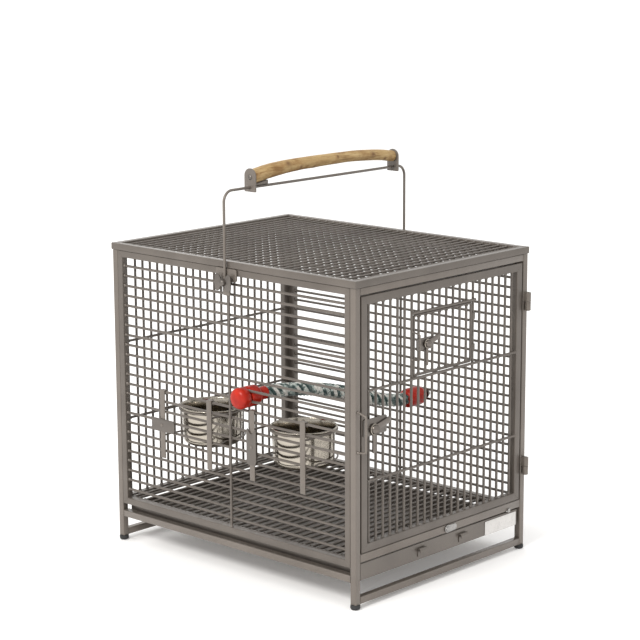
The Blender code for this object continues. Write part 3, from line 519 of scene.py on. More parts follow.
def drill(target, axis, centre, radius, low, high, sides=32):
    """Drill a finished piece; the cutter is used up."""
    tool = drawn("cutter", lambda bm: disc(bm, axis, centre, radius, low, high, sides), False)
    mod = target.modifiers.new("drill", "BOOLEAN")
    mod.operation = "DIFFERENCE"
    mod.solver = "EXACT"
    mod.object = tool
    bpy.context.view_layer.update()
    graph = bpy.context.evaluated_depsgraph_get()
    result = bpy.data.meshes.new_from_object(target.evaluated_get(graph))
    target.modifiers.clear()
    target.data = result
    bpy.data.objects.remove(tool, do_unlink=True)


# ---------------- fixed body
def make_posts():
    pad = [(0.0, 0.0), (5.4, 0.0), (6.3, 0.25), (7.6, 0.9), (8.5, 2.1), (8.95, 3.6), (9.0, 5.0),
           (8.9, 7.4), (8.5, 8.6), (7.8, 9.05), (6.0, 9.05), (0.0, 9.05)]
    for tag, sx, sy in (("front_left", -1, -1), ("front_right", 1, -1), ("rear_left", -1, 1),
                        ("rear_right", 1, 1)):
        centre = (sx * MID_X, sy * MID_Y)
        tube = rounded(around(centre[0]), around(centre[1]))
        piece("post_tube_" + tag, lambda bm: prism(bm, tube, "Z", POST_LOW, POST_TOP, 0.25),
              POWDER, "cage", "post_" + tag)
        piece("foot_pad_" + tag, lambda bm: lathe(bm, pad, "Z", centre, 40), RUBBER, "cage",
              "foot_" + tag)


def rail(name, axis, a, b, half):
    """Tube between two posts, with a weld bead round each end."""
    def draw(bm):
        prism(bm, rounded(a, b), axis, -half, half, 0.25)
        for side in (-1, 1):
            bead_ring(bm, axis, rounded(a, b, steps=3), side * (half + 0.1))

    piece(name + "_tube", draw, POWDER, "cage", name)


def make_rails():
    rail("rail_front_top", "X", around(-MID_Y), around(POST_TOP - TUBE / 2.0), IN_X)
    rail("base_rail_front", "X", around(-MID_Y), around(BASE_RAIL_Z), IN_X)
    rail("base_rail_rear", "X", around(MID_Y), around(BASE_RAIL_Z), IN_X)
    rail("crossbar", "X", (-HALF_Y, -HALF_Y + TUBE), CROSSBAR_Z, IN_X)
    rail("base_rail_left", "Y", around(-MID_X), around(SIDE_RAIL_Z), IN_Y)
    rail("base_rail_right", "Y", around(MID_X), around(SIDE_RAIL_Z), IN_Y)


def make_side_panel(tag, side):
    reach = IN_Y - TUBE + BITE
    bar_x, brace_x = side * MID_X, side * (MID_X + BRACE)

    def draw(bm):
        mitre_frame(bm, "X", (-IN_Y, IN_Y), (PANEL_LOW, POST_TOP), TUBE,
                    *mirrored(side, HALF_X - TUBE, HALF_X))
        for offset in spaced(24):
            z = PANEL_MID + offset
            wire(bm, (bar_x, -reach, z), (bar_x, reach, z))
            crossing(bm, (side * (MID_X + LUMP), 0.0, z), "X", 2.1)
        wire(bm, (brace_x, 0.0, BAR_LOW), (brace_x, 0.0, BAR_TOP))

    piece("panel_%s_grid" % tag, draw, POWDER_WIRE, "cage", "panel_" + tag)


def make_rear_panel():
    reach = IN_X - TUBE + BITE

    def draw(bm):
        mitre_frame(bm, "Y", (-IN_X, IN_X), (PANEL_LOW, POST_TOP), TUBE, HALF_Y - TUBE, HALF_Y)
        for x in spaced(21):
            wire(bm, (x, MID_Y, BAR_LOW), (x, MID_Y, BAR_TOP))
            for z in REAR_BRACES:
                crossing(bm, (x, MID_Y - LUMP, z), "Y", 2.1)
        for z in REAR_BRACES:
            wire(bm, (-reach, MID_Y - BRACE, z), (reach, MID_Y - BRACE, z))

    piece("panel_rear_grid", draw, POWDER_WIRE, "cage", "panel_rear")


def make_roof():
    half_x, half_y = HALF_X + 1.5, HALF_Y + 1.5

    def long_bars(bm):
        reach = half_y - TUBE + BITE
        mitre_frame(bm, "Z", (-half_x, half_x), (-half_y, half_y), TUBE, POST_TOP + 0.3, ROOF_TOP)
        for x in spaced(23):
            wire(bm, (x, -reach, ROOF_LONG_Z), (x, reach, ROOF_LONG_Z), ROOF_WIRE)

    def cross_bars(bm):
        reach = half_x - TUBE + BITE / 2.0
        for y in spaced(31):
            wire(bm, (-reach, y, ROOF_CROSS_Z), (reach, y, ROOF_CROSS_Z), ROOF_WIRE)
            for x in spaced(23):
                crossing(bm, (x, y, (ROOF_LONG_Z + ROOF_CROSS_Z) / 2.0), "Z", 1.6)

    piece("roof_frame_grid", long_bars, POWDER_WIRE, "cage", "roof_frame")
    piece("roof_cross_grid", cross_bars, POWDER_WIRE, "cage", "roof_cross_wires")


def angle_strip(name, side, outline):
    turned = fillet([(side * x, z) for x, z in outline], 0.5, 3)
    half = HALF_Y - TUBE - 0.6
    piece(name + "_strip", lambda bm: prism(bm, turned, "Y", -half, half), POWDER, "cage", name)


def make_ledges():
    for tag, side in (("left", -1), ("right", 1)):
        runner = [(227.0, 48.5), (227.0, 61.2), (225.6, 61.2), (225.6, 49.9), (206.0, 49.9),
                  (206.0, 48.5)]
        ledge = [(227.0, 73.0), (227.0, 81.0), (212.0, 81.0), (212.0, 79.6), (225.6, 79.6),
                 (225.6, 73.0)]
        angle_strip("tray_runner_" + tag, side, runner)
        angle_strip("grille_ledge_" + tag, side, ledge)


# ---------------- grille and tray
def make_grille():
    reach = GRILLE_X - 2.9

    def draw(bm):
        for side in (-1, 1):
            prism(bm, rounded(around(side * GRILLE_X, 3.0), GRILLE_Z, 1.2, 4), "Y",
                  -GRILLE_Y - 3.0, GRILLE_Y + 3.0, 0.4)
            prism(bm, rounded(around(side * GRILLE_Y, 3.0), GRILLE_Z, 1.2, 4), "X", -reach, reach,
                  0.3)
        for y in spaced(30):
            wire(bm, (-reach, y, GRILLE_BAR_Z), (reach, y, GRILLE_BAR_Z))
            crossing(bm, (0.0, y, 82.2), "Z", 2.0)
        sweep(bm, [(0.0, -287.0, 81.2), (0.0, 287.0, 81.2)], 2.0)

    piece("floor_grille_bars", draw, POWDER_WIRE, "grille", "floor_grille")


def sheet_outline(points, thickness):
    """Closed outline of a bent sheet: the polyline and its offset to the left."""
    left = []
    for i, point in enumerate(points):
        before = Vector(points[max(i - 1, 0)])
        after = Vector(points[min(i + 1, len(points) - 1)])
        tangent = (after - before).normalized()
        left.append((point[0] - tangent.y * thickness, point[1] + tangent.x * thickness))
    return list(points) + left[::-1]


def make_tray():
    face, floor = TRAY_FACE, TRAY_LOW - 0.6

    def sheet(points, radius, thickness):
        path = bent([(0.0, *p) for p in points], radius, 8)
        return sheet_outline([(p.y, p.z) for p in path], thickness)

    def draw(bm):
        pan = [(face + 0.1, 79.5), (face + 0.1, floor), (TRAY_BACK, floor), (TRAY_BACK, 70.6)]
        prism(bm, sheet(pan, 2.0, 1.2), "X", -TRAY_FRONT, TRAY_FRONT)
        disc(bm, "X", (face + 1.7, 79.3), 1.6, -TRAY_FRONT, TRAY_FRONT, 20)
        for side in (-1, 1):
            x = mirrored(side, TRAY_WALL - 1.2, TRAY_WALL)
            prism(bm, rounded(x, (TRAY_LOW - 0.2, 70.8), 0.5, 3), "Y", face + 0.8,
                  TRAY_BACK - 0.3)
        pull = [(face - 0.2, 56.5), (face - 0.2, 72.4), (face - 4.6, 72.4), (face - 7.4, 69.0),
                (face - 7.4, 64.6)]
        for x in (-58.5, 58.5):
            prism(bm, sheet(pull, 1.5, 1.3), "X", x - 10.5, x + 10.5)

    piece("tray_pan", draw, POWDER_TRAY, "tray_drawer", "tray", bevel=0.25)
    plate = rounded((125.5, 219.0), (50.2, 77.0), 2.0, 8)
    piece("tray_badge", lambda bm: prism(bm, plate, "Y", face - 0.9, face - 0.3, 0.2), LABEL,
          "tray_drawer", "tray_label")


def make_turn_button():
    px, pz = 9.0, 91.9

    def plate(bm):
        outline = arc(px, pz, 7.0, 90.0, 270.0, 16) + arc(px + 20.0, pz, 6.0, -90.0, 90.0, 16)
        prism(bm, outline, "Y", -310.3, -308.6, 0.3)

    def rivet(bm):
        profile = [(0.0, -307.2), (2.5, -307.2), (2.5, -310.7), (4.8, -310.7), (4.7, -311.3),
                   (4.0, -312.1), (2.6, -312.8), (1.2, -313.05), (0.0, -313.1)]
        lathe(bm, profile, "Y", (px, pz))

    button = piece("turn_button_plate", plate, BRIGHT, "turn_button", "tray_turn_button")
    drill(button, "Y", (px, pz), 2.9, -312.0, -307.0)
    piece("turn_button_rivet", rivet, BRIGHT, "cage", "")
    clip = rounded((188.5, 195.5), (81.9, 89.4))
    piece("tray_clip_plate", lambda bm: prism(bm, clip, "Y", -309.9, -308.3, 0.4), BRIGHT,
          "cage", "tray_clip")


# ---------------- doors
def make_door():
    low, high = DOOR_Z[0] + DOOR_TUBE - BITE, DOOR_Z[1] - DOOR_TUBE + BITE
    reach, brace_y = DOOR_X - DOOR_TUBE + BITE, BAR_Y - BRACE

    def draw(bm):
        mitre_frame(bm, "Y", (-DOOR_X, DOOR_X), DOOR_Z, DOOR_TUBE, -HALF_Y, -HALF_Y + TUBE)

        def lump(x, z):
            crossing(bm, (x, BAR_Y - 1.7, z), "Y", 2.2)

        for x in spaced(22):
            if abs(x) < HATCH_X - 1.0:
                wire(bm, (x, BAR_Y, low), (x, BAR_Y, HATCH_LOW), welds=(True, False))
                wire(bm, (x, BAR_Y, HATCH_TOP), (x, BAR_Y, high), welds=(False, True))
                lump(x, HATCH_TOP)
            else:
                wire(bm, (x, BAR_Y, low), (x, BAR_Y, high))
            for z in (DOOR_BRACE, HATCH_LOW):
                lump(x, z)
        for z in (DOOR_BRACE, HATCH_LOW):
            wire(bm, (-reach, brace_y, z), (reach, brace_y, z))
        sweep(bm, [(-HATCH_X - 3.0, brace_y, HATCH_TOP), (HATCH_X + 3.0, brace_y, HATCH_TOP)],
              WIRE)
        for x in (-HATCH_X, HATCH_X):
            lump(x, HATCH_TOP)

    piece("door_grid", draw, POWDER_WIRE, "main_door", "door_panel")


def make_hinge(tag, door_z, post_z, arm_z):
    def barrel(bm):
        disc(bm, "Z", (HINGE_X, HINGE_Y), 5.6, *door_z, 40, 0.5)
        flap = rounded((211.5, 230.8), (arm_z[0] - 3.5, arm_z[1] + 3.5))
        prism(bm, flap, "Y", -311.4, -308.3, 0.4)

    def leaf(bm):
        outline = [(HINGE_X + 5.8, -308.3)] + arc(HINGE_X, HINGE_Y, 5.8, 0.0, -180.0, 24)
        outline += [(HINGE_X - 5.8, -308.3)]
        prism(bm, outline, "Z", *post_z, 0.5)
        low, high = min(door_z[0], post_z[0]), max(door_z[1], post_z[1])
        head = [(0.0, 0.8), (2.6, 0.8), (3.4, 0.4), (3.4, 0.1), (2.0, 0.1)]
        pin = [(r, low - t) for r, t in head] + [(r, high + t) for r, t in head[::-1]]
        lathe(bm, pin, "Z", (HINGE_X, HINGE_Y), 24)
        sweep(bm, [(HINGE_X - 5.6, -308.4, post_z[0] + 0.6),
                   (HINGE_X - 5.6, -308.4, post_z[1] - 0.6)], 0.6, 6)

    knuckle = piece("door_hinge_" + tag, barrel, POWDER, "main_door", "door_knuckle_" + tag)
    drill(knuckle, "Z", (HINGE_X, HINGE_Y), 2.4, door_z[0] - 2.0, door_z[1] + 2.0)
    piece("post_hinge_" + tag, leaf, POWDER, "cage", "post_knuckle_" + tag)


def staple(name, node, body, x, root_y, bar_y, low, high, radius, bend):
    points = [(x, root_y, high[0]), (x, bar_y, high[1]), (x, bar_y, low[1]), (x, root_y, low[0])]

    def draw(bm):
        path = bent(points, bend)
        sweep(bm, path, radius, 16)
        for end, other in ((path[0], path[1]), (path[-1], path[-2])):
            out = (other - end).normalized()
            steps = (0.05, 0.6, 1.4, 2.4)
            sizes = (radius + 1.1, radius + 0.9, radius + 0.4, radius * 0.97)
            sweep(bm, [end + out * s for s in steps], sizes, 14)

    piece(name, draw, POWDER, body, node)


def lever_outline(pivot, hub, handle, nose, half):
    """Bell crank seen from the front, as one outline: hub, handle to the right, nose below."""
    px, pz = pivot
    aim, length = handle
    narrow = half * 0.62

    def tip(aim, length, half):
        along_arm = length - half
        return arc(px + cos(radians(aim)) * along_arm, pz + sin(radians(aim)) * along_arm, half,
                   aim - 90.0, aim + 90.0, 14)

    shoulder, neck = degrees(asin(min(1.0, half / hub))), degrees(asin(narrow / hub))
    return (tip(aim, length, half) + arc(px, pz, hub, aim + shoulder, 270.0 - neck, 24)
            + tip(-90.0, nose, narrow) + arc(px, pz, hub, neck - 90.0, aim - shoulder, 10))


def make_latch(name, body, node, plate_body, plate_node, pivot, plate, levels, hub, length, nose,
               width, knob):
    """Latch: backplate with rivets and stud, lever, and a domed knob whose rim is a ring of brighter
    steel, a painted highlight.
    """
    px, pz = pivot
    plate_y, lever_y, stud_tip = levels
    radius, far, stud = knob

    def backplate(bm):
        prism(bm, rounded(*plate, 3.0, 8), "Y", *plate_y, 0.3)
        disc(bm, "Y", pivot, stud, stud_tip, plate_y[1] - 0.2)
        for x in (plate[0][0] + 5.0, plate[0][1] - 5.0):
            for z in (plate[1][0] + 4.5, plate[1][1] - 4.5):
                if abs(x - px) + abs(z - pz) > hub + 6.0 and not (x > px and z > pz - 4.0):
                    y = plate_y[0]
                    lathe(bm, [(0.0, y + 0.3), (2.0, y + 0.3), (2.0, y - 0.1), (1.4, y - 0.28),
                               (0.0, y - 0.32)], "Y", (x, z), 16)

    def lever(bm):
        outline = lever_outline(pivot, hub, (LEVER_TILT, length), nose, width)
        prism(bm, outline, "Y", *lever_y, 0.45)

    def dome(bm):
        near, inside = lever_y[0] + 0.4, stud + 0.4
        profile = [(inside, near), (radius - 0.4, near), (radius, near - 0.4)]
        for k in range(12):
            angle = radians(k * 90.0 / 12.0)
            profile.append((radius * (0.86 + 0.14 * cos(angle * 2.0)) * cos(angle) + 0.001,
                            near - 2.2 - (near - 2.2 - far) * sin(angle)))
        profile += [(0.0, far), (0.0, far + 2.6), (inside, far + 2.6)]
        lathe(bm, profile, "Y", pivot, 40, closed=True)

    # Ring of brighter steel round the knob's face: painted highlight on the darker knob
    def rim(bm):
        hoop(bm, "Y", circle(px, pz, radius + 0.1, 40), lever_y[0] - 0.5, 0.9, 10)

    piece(name + "_backplate", backplate, ZINC, plate_body, plate_node)
    arm = piece(name + "_arm", lever, LEVER, body, node)
    drill(arm, "Y", pivot, stud + 0.4, lever_y[0] - 2.0, lever_y[1] + 2.0)
    piece(name + "_knob", dome, LEVER, body, "")
    # The rim takes the brighter bowl steel as a painted highlight
    piece(name + "_knob_highlight_rim", rim, STAINLESS_PAINTED_REFLECTION, body, "")


def make_small_door():
    half, low, high = 79.8, 393.0, 500.5

    def draw(bm):
        corners = [(-half, BAR_Y, low), (half, BAR_Y, low), (half, BAR_Y, high),
                   (-half, BAR_Y, high)]
        path = bent([corners[-1]] + corners + [corners[0]], 4.5, 8)[1:-1]
        sweep(bm, path, 2.5, 16, closed=True)
        for x in spaced(8):
            wire(bm, (x, BAR_Y, low + 1.5), (x, BAR_Y, high - 1.5))
        for z in (412.0, 470.0):
            lathe(bm, [(2.75, z), (4.4, z), (4.4, z + 12.0), (2.75, z + 12.0)], "Z",
                  (HATCH_X, BAR_Y), 28, closed=True)
            prism(bm, rounded((79.6, 82.5), around(BAR_Y, 1.2), 0.5, 3), "Z", z + 0.5, z + 11.5,
                  0.2)

    piece("feeding_door_grid", draw, POWDER_WIRE, "feeding_door", "small_door")


# ---------------- handle
def make_perch():
    def draw(bm):
        rings = []
        steps, sides = 130, 40
        first, last = -176.2, 209.8
        for i in range(steps + 1):
            x = first + (last - first) * i / steps
            z, r = perch_shape(x)
            slope = (perch_shape(min(x + 1.0, 211.0))[0] - z)
            end = min(x - first, last - x)
            trim = 0.35 if end < 0.5 else (0.0 if end > 2.0 else 0.1)
            ring = []
            for k in range(sides):
                angle = tau * k / sides
                cy, cz = cos(angle), sin(angle)
                seed = Vector((x * 0.020, cy * 0.9, cz * 0.9))
                fine = Vector((x * 0.06, cy * 3.0, cz * 3.0))
                swell = 0.045 * noise.noise(seed) + 0.018 * noise.noise(fine)
                for kx, ka, size in KNOTS:
                    gap = (x - kx) ** 2 / 70.0 + remainder(angle - ka, tau) ** 2 * 5.0
                    swell += size * 0.017 * exp(-gap)
                rr = (r - trim) * (1.0 - 0.02 + swell)
                ring.append(bm.verts.new((x - slope * cz * rr, cy * rr, z + cz * rr)))
            rings.append(ring)
        skin(bm, rings)

    piece("branch_perch", draw, WOOD, "handle", "wood_perch", angle=50.0)
    for tag, plate_x, wedge in (("left", (-180.0, -177.5), (-178.5, -138.0)),
                                ("right", (211.0, 213.5), (212.0, 182.0))):
        side = -1.0 if plate_x[0] < 0 else 1.0
        face = plate_x[0] if side < 0 else plate_x[1]

        def plate(bm):
            outline = fillet([(-14.0, 730.5), (-14.0, 702.0), (14.0, 702.0), (14.0, 730.5)], 2.5)
            outline = [p for p in outline if p[1] < 729.0]
            outline += arc(0.0, 730.5, 14.0, 0.0, 180.0, 28)
            prism(bm, outline, "X", *plate_x, 0.3)
            inner_z, inner_r = perch_shape(wedge[1])
            outer_z, outer_r = perch_shape(wedge[0])
            block = fillet([(wedge[0], 713.1), (wedge[1], 713.1),
                            (wedge[1], inner_z - inner_r - 0.6),
                            (wedge[0], outer_z - outer_r - 0.6)], 1.0)
            prism(bm, block, "Y", -5.0, 5.0, 0.4)

        def screw(bm):
            z = perch_shape(face)[0]
            head = ((0.0, -0.3), (4.8, -0.3), (4.8, 0.6), (4.3, 1.3), (3.0, 2.0), (1.4, 2.35),
                    (0.0, 2.4))
            lathe(bm, [(r, face + side * t) for r, t in head], "X", (0.0, z))

        bracket = piece("perch_plate_" + tag, plate, POWDER, "handle", "perch_bracket_" + tag)
        drill(bracket, "X", (0.0, BAIL_TOP), 2.9, plate_x[0] - 2.0, plate_x[1] + 2.0, 24)
        piece("perch_screw_" + tag, screw, ZINC, "handle", "")


def make_bail():
    def draw(bm):
        path = bent([(-BAIL_X, 0.0, BAIL_AXIS + 6.0), (-BAIL_X, 0.0, BAIL_TOP),
                     (BAIL_X, 0.0, BAIL_TOP), (BAIL_X, 0.0, BAIL_AXIS + 6.0)], 20.0, 16)
        sweep(bm, path, BAIL_ROD, 20)
        for side in (-1, 1):
            hoop(bm, "X", circle(0.0, BAIL_AXIS, 6.0, 36), side * BAIL_X, BAIL_ROD, 14)

    piece("bail_rod", draw, POWDER, "handle", "bail_wire")
    for tag, side in (("left", -1), ("right", 1)):
        def plate(bm):
            outline = [(-26.0, 571.0), (-26.0, 549.5), (-9.0, 545.0), (-9.0, 521.5), (9.0, 521.5),
                       (9.0, 545.0), (26.0, 549.5), (26.0, 571.0)]
            x = mirrored(side, HALF_X + 0.3, HALF_X + 3.3)
            prism(bm, fillet(outline, 3.5, 6), "X", *x, 0.4)
            disc(bm, "X", (0.0, BAIL_AXIS), 3.0, *mirrored(side, HALF_X + 3.0, 256.0))
            face = side * (HALF_X + 3.3)
            for y in (-19.0, 19.0):
                rivet = ((0.0, -0.3), (3.2, -0.3), (3.2, 0.1), (2.4, 0.28), (0.0, 0.3))
                lathe(bm, [(r, face + side * t) for r, t in rivet], "X", (y, 561.0), 20)

        def nut(bm):
            a, b = 248.95, 257.9
            profile = [(3.4, a), (6.6, a), (7.0, a + 0.5), (6.6, b - 3.0), (5.6, b - 0.8),
                       (4.6, b - 0.1), (0.0, b), (0.0, b - 1.6), (3.4, b - 1.6)]
            lathe(bm, [(r, side * t) for r, t in profile], "X", (0.0, BAIL_AXIS), closed=True)
            for sy in (-1, 1):
                wing = [(sy * y, z) for y, z in (
                    (4.6, 541.2), (8.6, 532.6), (14.5, 529.6), (19.6, 532.8), (20.5, 546.0),
                    (19.6, 559.2), (14.5, 562.4), (8.6, 559.4), (4.6, 550.8))]
                prism(bm, fillet(wing, 4.0, 6), "X", *mirrored(side, 250.1, 252.9), 0.9)

        piece("bail_plate_" + tag, plate, POWDER, "cage", "bail_bracket_" + tag)
        piece("wing_nut_" + tag, nut, ZINC, "cage", "bail_nut_" + tag)


# ---------------- bowls
def make_bowl(number, yc):
    z = BOWL_RIM
    profile = [(0.0, z - 72.0), (40.0, z - 72.0)] + arc(44.0, z - 60.6, 11.4, -90.0, 0.0, 10)
    profile += [(55.9, z - 50.0), (56.6, z - 36.0), (57.4, z - 18.0), (58.0, z - 4.4)]
    profile += arc(59.9, z - 1.75, 1.7, -130.0, 170.0, 20)
    profile += [(57.2, z - 3.6), (56.6, z - 18.0), (55.8, z - 36.0), (55.1, z - 50.0)]
    profile += arc(43.8, z - 60.4, 10.8, 0.0, -90.0, 10) + [(30.0, z - 71.0), (0.0, z - 70.8)]
    # The bowl's darker, warmer steel colour is a painted reflection of a dark studio
    piece("feed_bowl_%d_shell" % number, lambda bm: lathe(bm, profile, "Z", (BOWL_X, yc), 96),
          STAINLESS_PAINTED_REFLECTION, "feed_bowl_%d" % number, "bowl_%d" % number, angle=50.0)


def make_holder(number, yc, turned):
    bar_x, bar_z = -MID_X, PANEL_MID - 0.5 * PITCH
    out0, out1 = bar_x - WIRE - 1.8, bar_x - WIRE - 0.3
    in0, in1 = bar_x + WIRE + 0.3, bar_x + WIRE + 1.8
    top = bar_z + WIRE + 0.3
    pivot = (yc + STRAP_Y, LEVER_Z)

    def draw(bm):
        hook = [(out0, 186.0), (out1, 186.0), (out1, top), (in0, top), (in0, bar_z - 6.0),
                (in1, bar_z - 6.0), (in1, top + 1.5), (out0, top + 1.5)]
        outline = fillet(hook, 0.7, 4)
        for sy in (-1, 1):
            prism(bm, outline, "Y", *around(yc + sy * STRAP_Y, 6.2), 0.3)
            arm_y = yc + sy * 61.0
            sweep(bm, [(out1 - 0.5, arm_y, RING_Z), (BOWL_X + 4.0, arm_y, RING_Z)], 2.0, 14)
            low_y = arm_y + sy * 4.0
            sweep(bm, bent([(out1 - 0.5, low_y, 229.0), (bar_x + 14.0, low_y, 229.0),
                            (BOWL_X - 22.0, yc + sy * 57.6, LOWER_RING_Z)], 6.0, 6), 1.6)
        hoop(bm, "Z", circle(BOWL_X, yc, 61.0, 72), RING_Z, 2.0, 16)
        sweep(bm, [(a, b, LOWER_RING_Z) for a, b in arc(BOWL_X, yc, 61.7, -111.0, 111.0, 48)],
              1.6)
        for x, y in arc(BOWL_X, yc, 61.4, -75.0, 75.0, 2):
            sweep(bm, [(x, y, LOWER_RING_Z), (x, y, RING_Z)], 1.5, 10)
        disc(bm, "X", pivot, 3.0, -240.8, out1 - 0.3)

    def plate(bm):
        shape = [(-34.0, -9.0), (-28.0, -12.0), (28.0, -12.0), (34.0, -11.0), (25.5, -3.5),
                 (24.5, 0.0), (25.5, 3.5), (34.0, 11.0), (28.0, 12.0), (-28.0, 12.0),
                 (-34.0, 9.0)]
        if not turned:
            shape = [(-b, a) for a, b in shape]
        outline = [(pivot[0] + a, pivot[1] + b) for a, b in shape]
        prism(bm, fillet(outline, 2.0, 5), "X", -240.35, -238.15, 0.35)

    piece("bowl_holder_%d" % number, draw, POWDER, "cage", "cup_holder_%d" % number)
    lever = piece("bowl_lever_%d" % number, plate, ZINC, "holder_lever_%d" % number,
                  "cup_lever_%d" % number)
    drill(lever, "X", pivot, 3.4, -242.0, -236.0, 24)


# ---------------- rope perch
def rope_point(mix):
    x = ROPE_SPAN[0] + mix * (ROPE_SPAN[1] - ROPE_SPAN[0])
    y = ROPE_LEFT[0] + mix * (ROPE_RIGHT[0] - ROPE_LEFT[0])
    ease = mix * mix * (3.0 - 2.0 * mix)
    z = ROPE_LEFT[1] + ease * (ROPE_RIGHT[1] - ROPE_LEFT[1])
    z += 10.0 * sin(pi * mix ** 1.25) ** 2
    return Vector((x, y, z))


def rope_strand(bm, strand, steps=320, sides=20):
    """One strand twisted round the rope's centre line; its own yarns show as ridges."""
    points = [rope_point(i / steps) for i in range(steps + 1)]
    rings_at = []
    for i, (point, normal, side) in enumerate(frames(points, False)):
        turn = tau * (strand / STRANDS + (i / steps) * ROPE_LENGTH / LAY_PITCH)
        rings_at.append(point + (normal * cos(turn) + side * sin(turn)) * LAY)
    rings = []
    for i, (point, normal, side) in enumerate(frames(rings_at, False)):
        ring = []
        twist = -tau * (i / steps) * ROPE_LENGTH / 14.0
        for k in range(sides):
            angle = tau * k / sides
            ridge = 1.0 - 0.10 * (0.5 - 0.5 * cos(5.0 * (angle + twist)))
            fuzz = 1.0 + 0.03 * noise.noise(Vector((i * 0.7, k * 0.9, strand * 5.0)))
            offset = normal * cos(angle) + side * sin(angle)
            ring.append(bm.verts.new(point + offset * (ROPE_RADIUS - LAY) * ridge * fuzz))
        rings.append(ring)
    skin(bm, rings)


def make_rope_perch():
    colours = (ROPE_PALE, ROPE_DARK, ROPE_MID, ROPE_DARK, ROPE_PALE, ROPE_DARK)
    for k, colour in enumerate(colours):
        piece("rope_strand_%d" % (k + 1), lambda bm: rope_strand(bm, k), colour,
                             "cage", "", angle=70.0)
    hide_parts("perch_rope")

    def core(bm):
        sweep(bm, [rope_point(i / 60.0) for i in range(61)], 5.0, 16)

    piece("rope_core", core, ROPE_DARK, "cage", "")

    def dome(bm):
        profile = [(0.0, -236.2), (18.9, -236.2), (19.5, -236.7)]
        for k in range(0, 13):
            angle = radians(k * 90.0 / 12.0)
            profile.append((19.8 * cos(angle) ** 0.55 if k < 12 else 0.0,
                            -247.0 - 11.0 * sin(angle)))
        lathe(bm, profile, "X", ROPE_LEFT, 72)
        disc(bm, "X", ROPE_LEFT, 2.4, -237.0, -231.0)

    def cap_left(bm):
        profile = [(0.0, -231.1), (18.2, -231.1), (18.9, -230.6), (19.4, -229.0), (19.4, -211.0),
                   (18.9, -209.0), (17.4, -207.0), (14.2, -205.2), (12.6, -203.2), (12.0, -200.0),
                   (11.8, -185.5), (12.3, -184.4), (12.2, -183.4), (11.4, -183.0), (0.0, -183.0)]
        lathe(bm, profile, "X", ROPE_LEFT, 64)

    def cap_right(bm):
        profile = [(0.0, 176.0), (13.2, 176.0), (14.0, 176.5), (16.6, 178.6), (18.2, 181.0),
                   (18.7, 184.0), (18.8, 212.0), (18.5, 215.5), (17.5, 219.0), (14.4, 224.0),
                   (11.2, 228.6), (9.8, 230.6), (9.0, 231.1), (0.0, 231.1)]
        lathe(bm, profile, "X", ROPE_RIGHT, 64)

    def bolt(bm):
        lathe(bm, [(0.0, 236.2), (9.2, 236.2), (9.4, 236.5), (9.4, 237.5), (9.0, 237.9),
                   (0.0, 237.9)], "X", ROPE_RIGHT, 40)
        disc(bm, "X", ROPE_RIGHT, 8.2, 237.8, 243.0, 6, 0.5)
        lathe(bm, [(0.0, 242.6), (6.0, 242.8), (5.8, 244.6), (4.4, 246.5), (2.2, 247.4),
                   (0.0, 247.5)], "X", ROPE_RIGHT)
        disc(bm, "X", ROPE_RIGHT, 2.4, 231.0, 237.0)

    piece("rope_cap_outer_left", dome, RED, "cage", "rope_nut_left", angle=50.0)
    piece("rope_cap_inner_left", cap_left, RED, "cage", "rope_cap_left", angle=50.0)
    piece("rope_cap_inner_right", cap_right, RED, "cage", "rope_cap_right",
          angle=50.0)
    piece("rope_bolt_outer_right", bolt, ZINC, "cage", "rope_bolt_right")


# ---------------- studio
def make_stage():
    mesh = bpy.data.meshes.new("studio_floor")
    size = 45.0
    mesh.from_pydata([(-size, -size, 0.0), (size, -size, 0.0), (size, size, 0.0),
                      (-size, size, 0.0)], [], [(0, 1, 2, 3)])
    n = Nodes("studio_floor_paint")
    mesh.materials.append(n.surface(
        n.grey(n.noise(3.0, 3.0), 0.89, 0.91), 0.75, Specular_IOR_Level=0.2,
        Emission_Color=(1.0, 0.97, 0.94, 1.0), Emission_Strength=0.13))
    floor = add_object("studio_floor", mesh)

    scene.view_settings.view_transform = "Standard"
    world = bpy.data.worlds.new("studio")
    scene.world = world
    world.use_nodes = True
    background = world.node_tree.nodes["Background"]
    background.inputs["Color"].default_value = (1.0, 0.995, 0.985, 1.0)
    background.inputs["Strength"].default_value = 1.07

    def panel(name, location, size, power):
        light = bpy.data.lights.new(name, "AREA")
        light.shape = "RECTANGLE"
        light.size, light.size_y = size
        light.energy = power
        light.color = (1.0, 0.98, 0.95)
        ob = add_object(name, light)
        ob.location = location
        aim = Vector((0.0, 0.0, 0.25)) - Vector(location)
        ob.rotation_euler = aim.to_track_quat("-Z", "Y").to_euler()

    panel("key_left", (-2.5, -0.3, 2.3), (1.1, 0.9), 62.0)
    panel("rear_soft", (1.4, 2.8, 2.4), (2.4, 1.6), 20.0)


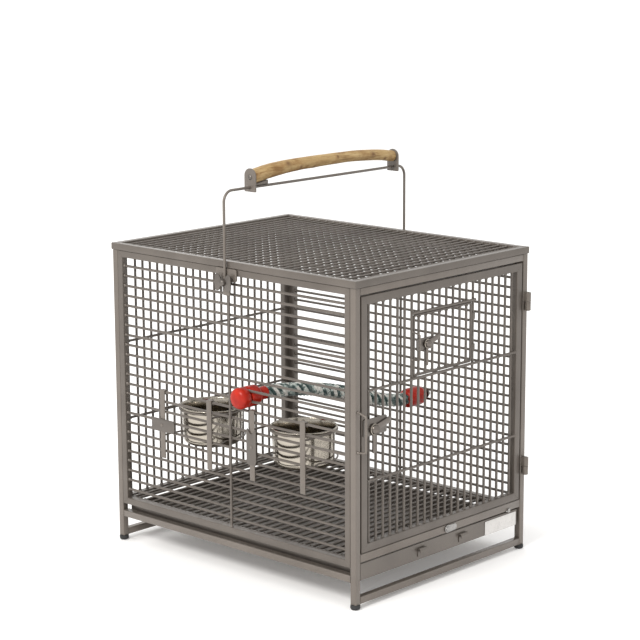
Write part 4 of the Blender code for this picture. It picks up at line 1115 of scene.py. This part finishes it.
def make_camera():
    data = bpy.data.cameras.new("view")
    data.sensor_width = 36.0
    data.lens = 114.64
    data.clip_end = 200.0
    camera = add_object("view", data)
    azimuth, elevation, roll = radians(-47.09), radians(11.58), radians(-0.25)
    back = Vector((sin(azimuth) * cos(elevation),
                   -cos(azimuth) * cos(elevation), sin(elevation)))
    right = (-back).cross(Vector((0.0, 0.0, 1.0))).normalized()
    up = right.cross(-back)
    x = right * cos(roll) + up * sin(roll)
    y = up * cos(roll) - right * sin(roll)
    matrix = Matrix((x, y, back)).transposed().to_4x4()
    matrix.translation = Vector((-2756.0, -2565.0 + SHIFT_Y, 1211.0)) * MM
    camera.matrix_world = matrix
    scene.camera = camera


def main():
    make_posts()
    make_rails()
    make_side_panel("left", -1)
    make_side_panel("right", 1)
    make_rear_panel()
    make_roof()
    make_ledges()
    make_grille()
    make_tray()
    make_turn_button()
    make_door()
    make_hinge("upper", (465.0, 481.7), (482.1, 499.0), (473.0, 478.0))
    make_hinge("lower", (148.5, 164.7), (165.1, 182.0), (158.0, 163.0))
    staple("latch_loop", "latch_staple", "cage", -233.65, -308.6, -327.0, (284.0, 286.6),
           (355.6, 350.6), 2.0, 4.0)
    make_latch("main_latch", "door_latch", "latch_lever", "main_door", "latch_plate", LATCH,
               ((-221.5, -161.0), (309.0, 339.5)), ((-310.3, -308.3), (-313.6, -310.7), -319.6),
               9.5, 46.0, 43.0, 5.6, (9.0, -323.5, 3.0))
    make_small_door()
    staple("small_latch_loop", "small_staple", "main_door", -HATCH_X, BAR_Y - 2.3, -321.0,
           (422.0, 424.0), (472.0, 470.0), 1.5, 3.0)
    make_latch("small_latch", "feeding_door_latch", "small_latch_lever", "feeding_door",
               "small_latch_plate", HATCH_LATCH, ((-76.0, -30.0), (436.0, 458.0)),
               ((-305.9, -304.3), (-308.6, -306.3), -313.2), 7.5, 36.0, 40.0, 4.8,
               (7.0, -317.0, 2.4))
    make_bail()
    make_perch()
    make_holder(1, BOWL_Y, True)
    make_holder(2, -BOWL_Y, False)
    make_bowl(1, BOWL_Y)
    make_bowl(2, -BOWL_Y)
    make_rope_perch()
    make_stage()
    make_camera()


main()
